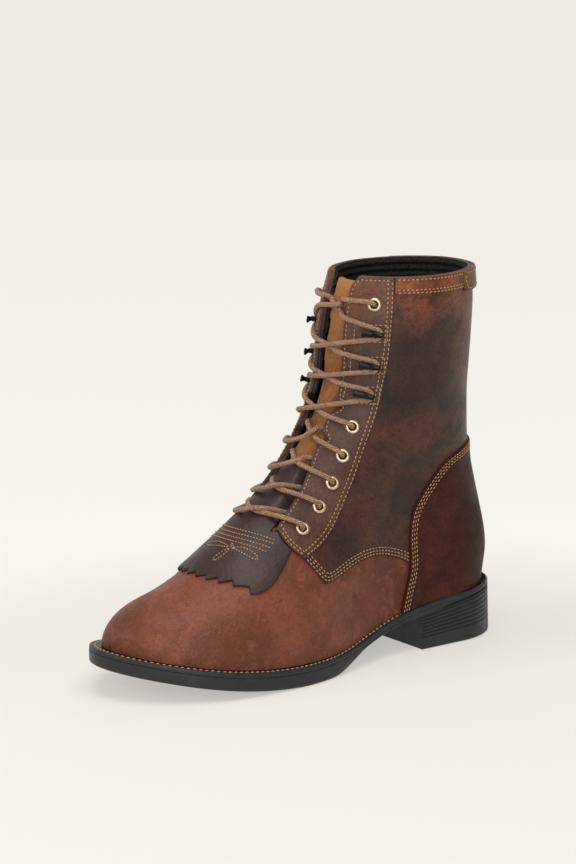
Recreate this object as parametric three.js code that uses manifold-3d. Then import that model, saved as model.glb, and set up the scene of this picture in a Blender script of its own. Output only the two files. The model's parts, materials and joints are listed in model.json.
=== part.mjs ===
// A left lacer boot: +X to the toe, +Y to the outer side, +Z up, in millimetres.
// The origin is on the floor under the middle of the heel.
import * as THREE from 'three';
import { mergeVertices } from 'three/addons/utils/BufferGeometryUtils.js';
import Module from 'manifold-3d';

const wasm = await Module();
wasm.setup();

// Driving sizes of the last and the shaft
const FOOT_LENGTH = 290; // back of the heel seat to the toe of the upper
const HEEL_SETBACK = 28.5; // origin to the back of the heel seat
const BALL_WIDTH = 95.5; // upper across the ball
const HEEL_WIDTH = 64; // upper across the heel seat
const COLLAR_WIDTH = 82.5; // upper across the collar
const UPPER_HEIGHT = 239; // collar above the sole's top at the ball
const HEEL_HEIGHT = 32; // heel seat above the floor
const BALL_HEIGHT = 13; // sole's top at the ball above the floor
const TOE_SPRING = 16.5; // rise of the sole at the toe
const TOE_ROUND = 72; // length over which the toe rounds in
const HEEL_ROUND = 40; // length over which the sole's back rounds in

// Walls, layers and clearances
const WALL = 2.4; // upper with its lining
const QUARTER_STEP = 1; // the quarters' leather over the vamp's
const LEATHER = 1.3; // an overlay's leather
const CLEAR = 0.3; // between pieces that meet
const SEAT_CLEAR = 0.6; // between the upper and the welt, whose curves are facets
const TONGUE_THICKNESS = 2.6;
const KILTIE_THICKNESS = 1.8;
const INSOLE_THICKNESS = 3.5;
const INSOLE_GAP = 0.9; // insole's edge to the wall
const WELT_THICKNESS = 3;
const WELT_LEDGE = 9; // how far the welt reaches in under the upper
const SOLE_EDGE_BALL = 6; // sole beyond the upper round the forepart
const SOLE_EDGE_HEEL = 3.8; // sole beyond the upper at the sides of the heel
const SOLE_BACK = 7.5; // sole beyond the heel seat at the back
const SOLE_TOE = 8.5; // sole beyond the upper at the toe
const HEEL_SOLE = 8.5; // welt and outsole together over the heel
const WAIST_SOLE = 6; // the same at the arch
const TOE_SOLE = 12; // the same at the toe
const HEEL_BREAST = 35; // the heel block's front face at its top
const BREAST_LEAN = 3; // how far that face leans back to the floor
const HEEL_TAPER = 1.6; // the block's outline draws in to the floor
const RIB_COUNT = 6;
const RIB_DEPTH = 0.8;
const RIB_SHARE = 0.64; // the ribs' share of the block's height, from its top
const SOLE_CHAMFER = 1;
const WELT_INSET = 0.4; // welt's edge behind the outsole's
const FLAT_START = 0.546; // the forefoot's flat spot, as shares of FOOT_LENGTH
const FLAT_END = 0.616;
const SOLE_STATIONS = 28;
const STATION_GAP = 2;
const HEEL_STATIONS = 8;

// Lacing
const LACE_DIAMETER = 3.8;
const EYELET_HOLE = 4.6; // clear bore
const EYELET_BARREL = 5.8;
const EYELET_FLANGE = 9.4;
const FLANGE_THICKNESS = 0.8;
const HOOK_BASE = 8;
const HOOK_STEM = 3.6;
const HOOK_REACH = 12.5; // length of the hook's bar
const HOOK_BAR_WIDTH = 4.6;
const HOOK_RISE = 4.4; // underside of the bar above its base
const HOOK_METAL = 1.1;
const METAL_CLEAR = 0.7; // a flat flange over the curved leather
const LACE_LEAVE = 1.5; // a strand starts this far above its row
const LACE_ARRIVE = 2.5; // and ends this far below the next
const LACE_DIP = 1.7; // its end beside the facing's edge
const LACE_POINTS = [0, 0.15, 0.32, 0.5, 0.68, 0.85, 1]; // shares of its way across
const LACE_SIDES = 8;
const LACE_STEP = 10;
const EYELET_SIDES = 8;
const HOLE_SIDES = 6;
const HOLE_REACH = 8; // a drill's half length

// Side view of the last. Heights are shares of UPPER_HEIGHT above the ball's
// sole; back and front lines are shares of FOOT_LENGTH from the heel's back.
const PROFILE = table(['height', 'back', 'front'], [
  [-0.004, 0.002, 0.984],
  [0.038, -0.002, 0.995],
  [0.071, -0.003, 1.0],
  [0.113, -0.005, 0.995],
  [0.146, -0.009, 0.972],
  [0.18, -0.0135, 0.921],
  [0.209, -0.0135, 0.84],
  [0.2385, -0.0105, 0.786],
  [0.276, -0.004, 0.7465],
  [0.322, 0.006, 0.698],
  [0.381, 0.019, 0.633],
  [0.448, 0.033, 0.56],
  [0.523, 0.0395, 0.5035],
  [0.607, 0.043, 0.4585],
  [0.707, 0.042, 0.424],
  [0.812, 0.038, 0.412],
  [0.912, 0.0335, 0.398],
  [1.004, 0.036, 0.374],
]);

// Plan of the foot. Stations are shares of FOOT_LENGTH, the half widths and
// the centre line's shift are shares of the width there, heel to ball.
const PLAN = table(['along', 'lateral', 'medial', 'centre'], [
  [-0.04, 0.495, 0.495, 0],
  [0.098, 0.5, 0.5, 0],
  [0.236, 0.5, 0.484, 0],
  [0.322, 0.505, 0.45, 0.008],
  [0.391, 0.513, 0.413, 0.014],
  [0.46, 0.52, 0.382, 0.012],
  [0.547, 0.515, 0.372, 0.011],
  [0.633, 0.518, 0.408, 0.01],
  [0.719, 0.524, 0.455, 0.005],
  [0.805, 0.508, 0.476, -0.005],
  [0.891, 0.476, 0.471, -0.021],
  [0.96, 0.445, 0.455, -0.037],
  [1.029, 0.419, 0.44, -0.047],
]);

// Shaft by height: half widths as shares of COLLAR_WIDTH, and the lengths over
// which its back and front round in, as shares of FOOT_LENGTH.
const SHAFT = table(['height', 'lateral', 'medial', 'backRound', 'frontRound'], [
  [0.033, 0.376, 0.376, 0.152, 0.379],
  [0.2, 0.382, 0.382, 0.152, 0.379],
  [0.326, 0.388, 0.388, 0.159, 0.328],
  [0.452, 0.406, 0.406, 0.172, 0.241],
  [0.577, 0.448, 0.436, 0.193, 0.207],
  [0.703, 0.485, 0.461, 0.207, 0.2],
  [0.828, 0.509, 0.479, 0.214, 0.193],
  [0.996, 0.527, 0.473, 0.22, 0.193],
]);

// Half gap between the facings by height, as shares of COLLAR_WIDTH: it opens
// to the foot, with a notch above each of the two upper lace holes.
const THROAT = table(['height', 'half'], [
  [0.343, 0.272],
  [0.362, 0.252],
  [0.47, 0.19],
  [0.548, 0.15],
  [0.563, 0.206],
  [0.582, 0.145],
  [0.63, 0.137],
  [0.647, 0.212],
  [0.668, 0.16],
  [0.75, 0.158],
  [0.93, 0.135],
  [0.975, 0.14],
  [1.002, 0.185],
]);

// Lace rows from the foot up: height, and the hole's distance from the middle
// as a share of COLLAR_WIDTH.
const LACE_ROWS = [
  { kind: 'eyelet', height: 0.344, side: 0.35 },
  { kind: 'eyelet', height: 0.395, side: 0.33 },
  { kind: 'eyelet', height: 0.453, side: 0.315 },
  { kind: 'eyelet', height: 0.523, side: 0.308 },
  { kind: 'eyelet', height: 0.598, side: 0.306 },
  { kind: 'hook', height: 0.682, side: 0.328 },
  { kind: 'hook', height: 0.764, side: 0.342 },
  { kind: 'hook', height: 0.85, side: 0.35 },
  { kind: 'eyelet', height: 0.926, side: 0.325 },
];

// Outlines in the side view: shares of FOOT_LENGTH along, of UPPER_HEIGHT up
const FAR = 1.3; // beyond the boot on any side
const QUARTER_FRONT = [
  [0.616, 0.343], [0.614, 0.32], [0.604, 0.298], [0.584, 0.272], [0.564, 0.238], [0.54, 0.199],
];
const QUARTER_BOTTOM = [
  [0.504, 0.207], [0.45, 0.229], [0.393, 0.24], [0.336, 0.231], [0.274, 0.201], [0.23, 0.15],
];
const EYESTAY_SEAM = [
  [0.316, 1.0], [0.3286, 0.877], [0.338, 0.768], [0.36, 0.648], [0.402, 0.524], [0.4355, 0.437],
  [0.487, 0.346], [0.537, 0.297],
];
const COUNTER_EDGE = [
  [-0.1, 0.518], [0.02, 0.512], [0.085, 0.503], [0.152, 0.482], [0.192, 0.447], [0.228, 0.4],
  [0.256, 0.352], [0.267, 0.307], [0.27, 0.26], [0.268, 0.184], [0.284, 0.11], [0.299, 0.065],
];
const BAND_BOTTOM = 0.964; // lower edge of the collar band
const PATCH_FRONT = 0.143; // front edges of the back patch
const PATCH_BOTTOM = 0.941;
const PATCH_CORNER = 0.02;

// Kiltie seen from above: shares of FOOT_LENGTH along, of BALL_WIDTH across
const KILTIE_SIDE = [[0.48, 0.27], [0.605, 0.351], [0.638, 0.392], [0.667, 0.421], [0.69, 0.426]];
const KILTIE_TIP = 0.782; // its pinked edge on the middle line
const KILTIE_CURVE = 0.395; // how fast that edge falls back to the sides
const KILTIE_CORNER = 0.4; // where the edge ends
const KILTIE_TEETH = 11;
const TOOTH_DEPTH = 3.2;
const KILTIE_TOP = 0.5; // its upper end in the throat
const KILTIE_FOOT = 0.2; // its lowest point
const KILTIE_SINK = [0.38, 0.47]; // it sinks into the throat between these heights
const KILTIE_INSET = 4; // narrower than the throat, for the lace to pass
const EYESTAY_FOOT = 0.27; // the eyestay's lowest point

// Tongue
const TONGUE_FLAT = 9; // half width of its raised middle
const TONGUE_FALL = 19; // half width where it lies deepest
const TONGUE_WIDTH = 58;
const TONGUE_TOP = 0.972;
const TONGUE_FOOT = 0.25;
const TONGUE_CORNER = 9;

// One grid serves the wall and all that lies on it, so their facets stay parallel
const TURNS = 36; // grid lines round a ring, from the back over the outer side
const RISES = [0, 0.05, 0.1, 0.15, 0.2, 0.26, 0.34, 0.44, 0.56, 0.69, 0.84, 1];
// Shares of a turn that each sheet spans on each side, before it is cut
const FACING_TURN = 0.2;
const VAMP_TURN = 0.34;
const COUNTER_TURN = 0.22;
const BAND_TURN = 0.37;
const PATCH_TURN = 0.2;
const TONGUE_TURN = 0.125;
const KILTIE_TURN = 0.2;
const KEEP_RISE = 0.155; // rings above this lie level, those below follow the sole
const INSTEP_FILL = 0.93; // the inner side's width at the instep, of the outer side's
const ANKLE_LOW = 0.197; // the foot's sections pass into the shaft's between these heights
const ANKLE_HIGH = 0.49;
const STEP = 1e-3;

const QUARTER = QUARTER_STEP;
const OVERLAY_IN = QUARTER + CLEAR;
const OVERLAY_OUT = OVERLAY_IN + LEATHER;
const LACE_RADIUS = LACE_DIAMETER / 2;

// Tables

function table(names, rows) {
  return rows.map((row) => Object.fromEntries(names.map((name, i) => [name, row[i]])));
}

// Smooth curve through one column of a table
function read(rows, at, by, column) {
  const last = rows.length - 1;
  const place = Math.min(Math.max(at, rows[0][by]), rows[last][by]);
  let i = 0;
  while (i < last - 1 && place > rows[i + 1][by]) i += 1;
  const slope = (k) => {
    const rise = (j) => (rows[j + 1][column] - rows[j][column]) / (rows[j + 1][by] - rows[j][by]);
    if (k === 0) return rise(0);
    if (k === last) return rise(last - 1);
    const before = rows[k][by] - rows[k - 1][by];
    const after = rows[k + 1][by] - rows[k][by];
    return (rise(k - 1) * after + rise(k) * before) / (before + after);
  };
  const span = rows[i + 1][by] - rows[i][by];
  const t = (place - rows[i][by]) / span;
  return (
    (2 * t ** 3 - 3 * t ** 2 + 1) * rows[i][column]
    + (t ** 3 - 2 * t ** 2 + t) * span * slope(i)
    + (3 * t ** 2 - 2 * t ** 3) * rows[i + 1][column]
    + (t ** 3 - t ** 2) * span * slope(i + 1)
  );
}

// Straight lines through one column of a table
function readStraight(rows, at, by, column) {
  const last = rows.length - 1;
  const place = Math.min(Math.max(at, rows[0][by]), rows[last][by]);
  let i = 0;
  while (i < last - 1 && place > rows[i + 1][by]) i += 1;
  const t = (place - rows[i][by]) / (rows[i + 1][by] - rows[i][by]);
  return rows[i][column] * (1 - t) + rows[i + 1][column] * t;
}

function smooth(from, to, x) {
  const t = Math.min(Math.max((x - from) / (to - from), 0), 1);
  return t * t * (3 - 2 * t);
}

// How far a round end has opened, from 0 at its tip to 1
function opening(distance, round, power) {
  const t = Math.min(Math.max(distance / round, 0), 1);
  return Math.sqrt(1 - (1 - t) ** power);
}

// The value between low and high where a rising test first holds
function search(low, high, holds) {
  let a = low;
  let b = high;
  for (let i = 0; i < 44; i += 1) {
    const middle = (a + b) / 2;
    if (holds(middle)) b = middle;
    else a = middle;
  }
  return (a + b) / 2;
}

// Places

const along = (share) => share * FOOT_LENGTH - HEEL_SETBACK;
const alongShare = (x) => (x + HEEL_SETBACK) / FOOT_LENGTH;
const level = (share) => BALL_HEIGHT + share * UPPER_HEIGHT;
const levelShare = (z) => (z - BALL_HEIGHT) / UPPER_HEIGHT;

// Top of the sole, where the upper stands
function seat(x) {
  const s = alongShare(x);
  const arch = (BALL_HEIGHT - HEEL_HEIGHT) * smooth(0.167, 0.546, s);
  const toe = TOE_SPRING * Math.max((s - 0.616) / (1 - 0.616), 0) ** 1.6;
  return HEEL_HEIGHT + arch + toe;
}

function soleThickness(x) {
  const s = alongShare(x);
  return (
    HEEL_SOLE
    + (WAIST_SOLE - HEEL_SOLE) * smooth(0.21, 0.33, s)
    + (BALL_HEIGHT - WAIST_SOLE) * smooth(0.4, 0.54, s)
    + (TOE_SOLE - BALL_HEIGHT) * smooth(0.62, 1, s)
  );
}

const underside = (x) => seat(x) - soleThickness(x);

// Width of the foot at a station, between the heel's and the ball's
function planWidth(x) {
  return HEEL_WIDTH + (BALL_WIDTH - HEEL_WIDTH) * smooth(0.3, 0.62, alongShare(x));
}
const planHalf = (x, side) => planWidth(x) * read(PLAN, alongShare(x), 'along', side);
const planCentre = (x) => planWidth(x) * read(PLAN, alongShare(x), 'along', 'centre');

// The last

const backLine = (z) => along(read(PROFILE, levelShare(z), 'height', 'back'));
const frontLine = (z) => along(read(PROFILE, levelShare(z), 'height', 'front'));
const TOE_TOP = level(0.071);
const COLLAR = level(1);

// Height of the last's top line at a station in front of the shaft
const ridge = (x) => search(TOE_TOP, COLLAR, (z) => frontLine(z) <= x);

function halfWidth(x, z, side) {
  const fromBack = opening(x - backLine(z), FOOT_LENGTH * shaftAt(z, 'backRound'), 2.2);
  const fromFront = opening(frontLine(z) - x, FOOT_LENGTH * shaftAt(z, 'frontRound'), 2.2);
  const toe = opening(along(1.0017) - x, TOE_ROUND, 2.3);
  const rise = Math.max(ridge(x) - seat(x), STEP);
  const up = Math.min(Math.max((z - seat(x)) / rise, 0), 1);
  const dome = Math.sqrt(1 - up ** 2.3);
  const sole = planHalf(x, side);
  const instep = side === 'medial' ? INSTEP_FILL * planHalf(x, 'lateral') : sole;
  const foot = (sole + (instep - sole) * smooth(0, 0.8, up)) * fromBack * toe * dome;
  const shaft = COLLAR_WIDTH * shaftAt(z, side) * fromBack * fromFront;
  const blend = smooth(ANKLE_LOW, ANKLE_HIGH, levelShare(z));
  return foot * (1 - blend) + shaft * blend;
}

function shaftAt(z, column) {
  return read(SHAFT, levelShare(z), 'height', column);
}

// Height at a station of the ring that has this rise: the lowest follow the sole
function ringHeight(rise, x) {
  const flat = BALL_HEIGHT + rise * UPPER_HEIGHT;
  const keep = 1 - smooth(0, KEEP_RISE, rise);
  return flat + (seat(x) - BALL_HEIGHT) * keep;
}

function ringEnds(rise) {
  const middle = along(0.3);
  const back = search(along(-0.1), middle, (x) => x >= backLine(ringHeight(rise, x)));
  const front = search(middle, along(1.05), (x) => x >= frontLine(ringHeight(rise, x)));
  return { back, front };
}

const endsOf = new Map();

// Point of the last: turn 0 at the back, a half at the front over the outer side
function lastPoint(turn, rise) {
  if (!endsOf.has(rise)) endsOf.set(rise, ringEnds(rise));
  const { back, front } = endsOf.get(rise);
  const angle = turn * 2 * Math.PI;
  const x = back + (front - back) * (1 - Math.cos(angle)) / 2;
  const z = ringHeight(rise, x);
  const outer = Math.sin(angle) >= 0;
  const half = halfWidth(x, z, outer ? 'lateral' : 'medial');
  const centre = planCentre(x) * (1 - smooth(ANKLE_LOW, ANKLE_HIGH, levelShare(z)));
  return new THREE.Vector3(x, centre + (outer ? half : -half), z);
}

function lastNormal(turn, rise) {
  const low = Math.max(rise - STEP, 0);
  const high = Math.min(rise + STEP, 1);
  const round = lastPoint(turn + STEP, rise).sub(lastPoint(turn - STEP, rise));
  const up = lastPoint(turn, high).sub(lastPoint(turn, low));
  const normal = up.cross(round).normalize();
  // Layers end level at the sole and at the collar
  normal.z *= smooth(0, 0.05, rise) * smooth(0, 0.04, 1 - rise);
  return normal.normalize();
}

function offsetPoint(turn, rise, offset) {
  return lastPoint(turn, rise).addScaledVector(lastNormal(turn, rise), offset);
}

// The same on the flat faces of the grid, where the pieces really lie
function facePoint(turn, rise, offset) {
  const i = Math.min(RISES.findLastIndex((line) => line <= rise), RISES.length - 2);
  const j = Math.floor(turn * TURNS);
  const corner = (dj, di) => offsetPoint((j + dj) / TURNS, RISES[i + di], offset);
  const round = turn * TURNS - j;
  const up = (rise - RISES[i]) / (RISES[i + 1] - RISES[i]);
  const [low, high] = [corner(0, 0), corner(1, 1)];
  if (up > round) {
    const side = corner(0, 1);
    return low.multiplyScalar(1 - up).addScaledVector(side, up - round).addScaledVector(high, round);
  }
  const side = corner(1, 0);
  return low.multiplyScalar(1 - round).addScaledVector(side, round - up).addScaledVector(high, up);
}

// Turn of the front's point at a height, a distance across from the middle
function frontTurn(z, y) {
  const rise = levelShare(z);
  return search(0.25, 0.75, (turn) => facePoint(turn, rise, 0).y <= y);
}

function onFront(z, y, offset) {
  return facePoint(frontTurn(z, y), levelShare(z), offset);
}

// Solids

function meshVolume(position, index) {
  const [a, b, c] = [new THREE.Vector3(), new THREE.Vector3(), new THREE.Vector3()];
  let sum = 0;
  for (let i = 0; i < index.count; i += 3) {
    a.fromBufferAttribute(position, index.getX(i));
    b.fromBufferAttribute(position, index.getX(i + 1));
    c.fromBufferAttribute(position, index.getX(i + 2));
    sum += a.dot(b.cross(c)) / 6;
  }
  return sum;
}

// A solid from a closed geometry, faces turned out
function toSolid(geometry) {
  const bare = geometry.clone();
  bare.deleteAttribute('normal');
  bare.deleteAttribute('uv');
  const merged = mergeVertices(bare, 1e-4);
  const index = merged.getIndex();
  const inward = meshVolume(merged.getAttribute('position'), index) < 0;
  const faces = [];
  for (let i = 0; i < index.count; i += 3) {
    const [a, b, c] = [index.getX(i), index.getX(i + 1), index.getX(i + 2)];
    if (a !== b && b !== c && c !== a) faces.push(...(inward ? [a, c, b] : [a, b, c]));
  }
  return new wasm.Manifold(new wasm.Mesh({
    numProp: 3,
    vertProperties: new Float32Array(merged.getAttribute('position').array),
    triVerts: new Uint32Array(faces),
  }));
}

function toGeometry(solid) {
  const mesh = solid.getMesh();
  const geometry = new THREE.BufferGeometry();
  geometry.setAttribute('position', new THREE.BufferAttribute(mesh.vertProperties, mesh.numProp));
  geometry.setIndex(new THREE.BufferAttribute(mesh.triVerts, 1));
  geometry.computeVertexNormals();
  return geometry;
}

function geometryFrom(points, faces) {
  const geometry = new THREE.BufferGeometry();
  geometry.setAttribute('position', new THREE.Float32BufferAttribute(points.flatMap((p) => p.toArray()), 3));
  geometry.setIndex(faces.flat());
  return geometry;
}

// Closed solid from rings of equal, even count: either the last ring meets the
// first, or both are capped by strips between the ring's two halves
function loft(rings, endless) {
  const count = rings[0].length;
  const points = rings.flat();
  const faces = [];
  const last = endless ? rings.length : rings.length - 1;
  for (let i = 0; i < last; i += 1) {
    const low = i * count;
    const high = ((i + 1) % rings.length) * count;
    for (let j = 0; j < count; j += 1) {
      const next = (j + 1) % count;
      const [a, b, c, d] = [low + j, low + next, high + next, high + j];
      // The ring's second half mirrors the first, also in how its faces are split
      if (j < count / 2) faces.push([a, b, c], [a, c, d]);
      else faces.push([a, b, d], [b, c, d]);
    }
  }
  if (!endless) {
    const top = (rings.length - 1) * count;
    for (let j = 0; j < count / 2 - 1; j += 1) {
      const across = count - 1 - j;
      faces.push([j + 1, j, across], [j + 1, across, across - 1]);
      faces.push([top + j, top + j + 1, top + across], [top + j + 1, top + across - 1, top + across]);
    }
  }
  return toSolid(geometryFrom(points, faces));
}

// A sheet between two offsets of the last. Lines from and to count round the
// ring; a whole ring has TURNS of them. Skirt lengthens it past sole and collar.
function layer({ inside, outside, from = 0, to = TURNS, low = 0, high = RISES.length - 1, skirt = 0 }) {
  const whole = to - from === TURNS;
  const columns = [];
  for (let j = from; j < to + (whole ? 0 : 1); j += 1) {
    const turn = j / TURNS;
    const up = [];
    const down = [];
    for (let i = low; i <= high; i += 1) {
      const offset = (value) => (typeof value === 'function' ? value(turn, RISES[i]) : value);
      up.push(offsetPoint(turn, RISES[i], offset(outside)));
      down.unshift(offsetPoint(turn, RISES[i], offset(inside)));
    }
    for (const [list, end] of skirt ? [[up, -1], [down, 1]] : []) {
      list.unshift(list[0].clone().add(new THREE.Vector3(0, 0, end * skirt)));
      list.push(list.at(-1).clone().add(new THREE.Vector3(0, 0, -end * skirt)));
    }
    columns.push([...up, ...down]);
  }
  return loft(columns, whole);
}

// A prism through the boot along Y from a side-view outline, on one side or both
function sidePrism(outline, sides = 'both') {
  const shape = new THREE.Shape(outline.map(([s, h]) => new THREE.Vector2(along(s), level(h))));
  const reach = BALL_WIDTH;
  const depth = sides === 'both' ? 2 * reach : reach;
  const geometry = new THREE.ExtrudeGeometry(shape, { depth, bevelEnabled: false });
  geometry.rotateX(Math.PI / 2);
  geometry.translate(0, sides === 'medial' ? 0 : reach, 0);
  return toSolid(geometry);
}

// A prism through the boot along X from an outline seen from the front
function frontPrism(points) {
  const shape = new THREE.Shape(points.map(([y, z]) => new THREE.Vector2(y, z)));
  const start = along(0.22);
  const depth = along(1) - start;
  const geometry = new THREE.ExtrudeGeometry(shape, { depth, bevelEnabled: false });
  // The shape's plane turns from XY to YZ
  geometry.applyMatrix4(new THREE.Matrix4().set(0, 0, 1, start, 1, 0, 0, 0, 0, 1, 0, 0, 0, 0, 0, 1));
  return toSolid(geometry);
}

// The gap between the facings, narrowed on each side and lengthened at its foot
function throatChannel(inset, drop = 0) {
  const rows = [...THROAT, { height: FAR, half: THROAT.at(-1).half }];
  const side = rows.map((row, i) => {
    return [row.half * COLLAR_WIDTH - inset, level(row.height) - (i === 0 ? drop : 0)];
  });
  const other = side.map(([y, z]) => [-y, z]).reverse();
  return frontPrism([...side, ...other]);
}

// Half gap between the facings at a height
const throatHalf = (z) => COLLAR_WIDTH * readStraight(THROAT, levelShare(z), 'height', 'half');

// Sole

// Slab over an outline, drawn in by an inset, between two heights at each station.
// Its side has levels: a share of its thickness, and how far that edge draws in.
function slab({ inset, edge, back, toe, backRound, toeRound, top, bottom, levels }) {
  const start = back + inset;
  const end = toe - inset;
  const middle = (start + end) / 2;
  const flat = [along(FLAT_START), along(FLAT_END)];
  const even = Array.from({ length: SOLE_STATIONS + 1 }, (_, i) => {
    return middle - (end - start) / 2 * Math.cos(Math.PI * i / SOLE_STATIONS);
  });
  const spaced = even.filter((x) => flat.every((f) => Math.abs(f - x) > STATION_GAP));
  const stations = [...spaced, ...flat].sort((a, b) => a - b);
  const half = (x, side) => {
    const open = opening(end - x, toeRound, 2.3) * opening(x - start, backRound, 2.2);
    return Math.max(planHalf(x, side) + edge(x) - inset, 0) * open;
  };
  const rings = stations.map((x) => {
    const point = (side, sign) => ([share, draw]) => new THREE.Vector3(
      middle + (x - middle) * (1 - 2 * draw / (end - start)),
      planCentre(x) + sign * Math.max(half(x, side) - draw, 0),
      bottom(x) * (1 - share) + top(x) * share,
    );
    const outer = levels.map(point('lateral', 1));
    const inner = levels.map(point('medial', -1)).reverse();
    return [...outer, ...inner];
  });
  return loft(rings, false);
}

const soleEdge = (x) => {
  return SOLE_EDGE_HEEL + (SOLE_EDGE_BALL - SOLE_EDGE_HEEL) * smooth(0.41, 0.65, alongShare(x));
};
const SOLE_OUTLINE = {
  edge: soleEdge,
  back: -HEEL_SETBACK - SOLE_BACK,
  toe: along(1) + SOLE_TOE,
  backRound: HEEL_ROUND,
  toeRound: TOE_ROUND + SOLE_TOE / 2,
};
const PLAIN_SIDE = [[0, 0], [1, 0]];
const weltTop = (x) => seat(x) - SEAT_CLEAR;
const weltBottom = (x) => weltTop(x) - WELT_THICKNESS;
const soleTop = (x) => weltBottom(x) - CLEAR;

function makeWelt() {
  const ends = { top: weltTop, bottom: weltBottom, levels: PLAIN_SIDE };
  const whole = slab({ ...SOLE_OUTLINE, ...ends, inset: WELT_INSET });
  const deep = { top: (x) => weltTop(x) + WALL, bottom: (x) => weltBottom(x) - WALL, levels: PLAIN_SIDE };
  return whole.subtract(slab({ ...SOLE_OUTLINE, ...deep, inset: SOLE_EDGE_BALL + WELT_LEDGE }));
}

function makeOutsole() {
  const levels = [[0, SOLE_CHAMFER], [0.14, 0], [1, 0]];
  const body = slab({ ...SOLE_OUTLINE, inset: 0, top: soleTop, bottom: underside, levels });
  // The bed fills the welt's ring and carries the insole
  const bed = { top: weltTop, bottom: (x) => soleTop(x) - WALL / 2, levels: PLAIN_SIDE };
  return body.add(slab({ ...SOLE_OUTLINE, ...bed, inset: SOLE_EDGE_BALL + WELT_LEDGE + CLEAR }));
}

function makeInsole() {
  return slab({
    inset: WALL + INSOLE_GAP,
    edge: () => 0,
    back: -HEEL_SETBACK,
    toe: along(1),
    backRound: FOOT_LENGTH * SHAFT[0].backRound,
    toeRound: TOE_ROUND,
    top: (x) => seat(x) + INSOLE_THICKNESS,
    bottom: seat,
    levels: PLAIN_SIDE,
  });
}

// The heel block: each level is a share of its height and how far it draws in
function heelLevels() {
  const levels = [[0, SOLE_CHAMFER], [0.04, 0], [1 - RIB_SHARE, 0]];
  const rib = RIB_SHARE / RIB_COUNT;
  for (let k = 0; k < RIB_COUNT; k += 1) {
    const low = 1 - RIB_SHARE + k * rib;
    levels.push([low + rib * 0.25, RIB_DEPTH], [low + rib * 0.75, 0]);
  }
  return [...levels, [1, 0]];
}

function makeHeel() {
  const rings = heelLevels().map(([share, draw]) => {
    const taper = HEEL_TAPER * (1 - share) + draw;
    const breast = HEEL_BREAST - BREAST_LEAN * (1 - share);
    const back = SOLE_OUTLINE.back + taper;
    const point = (side, sign, j) => {
      const x = back + (breast - back) * (1 - Math.sin(Math.PI / 2 * j / HEEL_STATIONS));
      const half = (planHalf(x, side) + soleEdge(x) - taper) * opening(x - back, HEEL_ROUND, 2.2);
      return new THREE.Vector3(x, planCentre(x) + sign * half, share * (underside(x) - CLEAR));
    };
    const count = Array.from({ length: HEEL_STATIONS + 1 }, (_, j) => j);
    const outer = count.map((j) => point('lateral', 1, j));
    const inner = count.map((j) => point('medial', -1, j)).reverse();
    return [...outer, ...inner];
  });
  return loft(rings, false);
}

// Upper and what is sewn to it

const QUARTER_OUTLINE = [
  ...QUARTER_FRONT, ...QUARTER_BOTTOM,
  [0.22, -FAR], [-FAR, -FAR], [-FAR, FAR], [FAR, FAR], [FAR, QUARTER_FRONT[0][1]],
];
const quarterPrism = () => sidePrism(QUARTER_OUTLINE);

// Frame on the front of the last for one lace row on one side
function laceFrame(row, sign) {
  const z = level(row.height);
  const turn = frontTurn(z, sign * row.side * COLLAR_WIDTH);
  const rise = levelShare(z);
  const origin = facePoint(turn, rise, 0);
  const out = lastNormal(turn, rise);
  const up = lastPoint(turn, rise + STEP).sub(lastPoint(turn, rise - STEP));
  const across = new THREE.Vector3().crossVectors(up, out).normalize();
  return new THREE.Matrix4().makeBasis(across, out.clone().cross(across), out).setPosition(origin);
}

function placed(geometry, frame) {
  return toSolid(geometry.clone().applyMatrix4(frame));
}

const lines = (turn) => Math.ceil(turn * TURNS);
const lineBelow = (rise) => RISES.findLastIndex((line) => line <= rise);
const lineAbove = (rise) => RISES.findIndex((line) => line >= rise);
const roundBack = (turn) => ({ from: -lines(turn), to: lines(turn) });
const roundFront = (turn) => ({ from: TURNS / 2 - lines(turn), to: TURNS / 2 + lines(turn) });
const SIDES = [
  { name: 'lateral', sign: 1, from: TURNS / 2 - lines(FACING_TURN), to: TURNS / 2 },
  { name: 'medial', sign: -1, from: TURNS / 2, to: TURNS / 2 + lines(FACING_TURN) },
];

// A lace hole through every layer of a facing
function laceHoles(sign) {
  const radius = (EYELET_BARREL / 2 + CLEAR) / Math.cos(Math.PI / HOLE_SIDES);
  const drill = new THREE.CylinderGeometry(radius, radius, 2 * HOLE_REACH, HOLE_SIDES);
  drill.rotateX(Math.PI / 2);
  const rows = LACE_ROWS.filter((row) => row.kind === 'eyelet');
  const holes = rows.map((row) => placed(drill, laceFrame(row, sign)));
  return holes.reduce((all, hole) => all.add(hole));
}

function makeUpper() {
  const wall = layer({ inside: -WALL, outside: QUARTER_STEP });
  const high = lineAbove(QUARTER_FRONT[0][1]);
  const room = layer({ inside: 0, outside: 3 * QUARTER_STEP, ...roundFront(VAMP_TURN), high, skirt: WALL });
  const stepped = wall.subtract(room.subtract(quarterPrism()));
  const open = stepped.subtract(throatChannel(0));
  return SIDES.reduce((solid, side) => solid.subtract(laceHoles(side.sign)), open);
}

function makeEyestay({ name, sign, from, to }) {
  const low = lineBelow(EYESTAY_FOOT);
  const sheet = layer({ inside: OVERLAY_IN, outside: OVERLAY_OUT, from, to, low });
  const front = QUARTER_FRONT.filter(([, height]) => height >= EYESTAY_FOOT).reverse();
  const [first] = EYESTAY_SEAM;
  const outline = [
    [first[0], FAR], ...EYESTAY_SEAM, ...front, [FAR, QUARTER_FRONT[0][1]], [FAR, FAR],
  ];
  const cut = sheet.intersect(sidePrism(outline, name));
  return cut.subtract(throatChannel(0)).subtract(laceHoles(sign));
}

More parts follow.
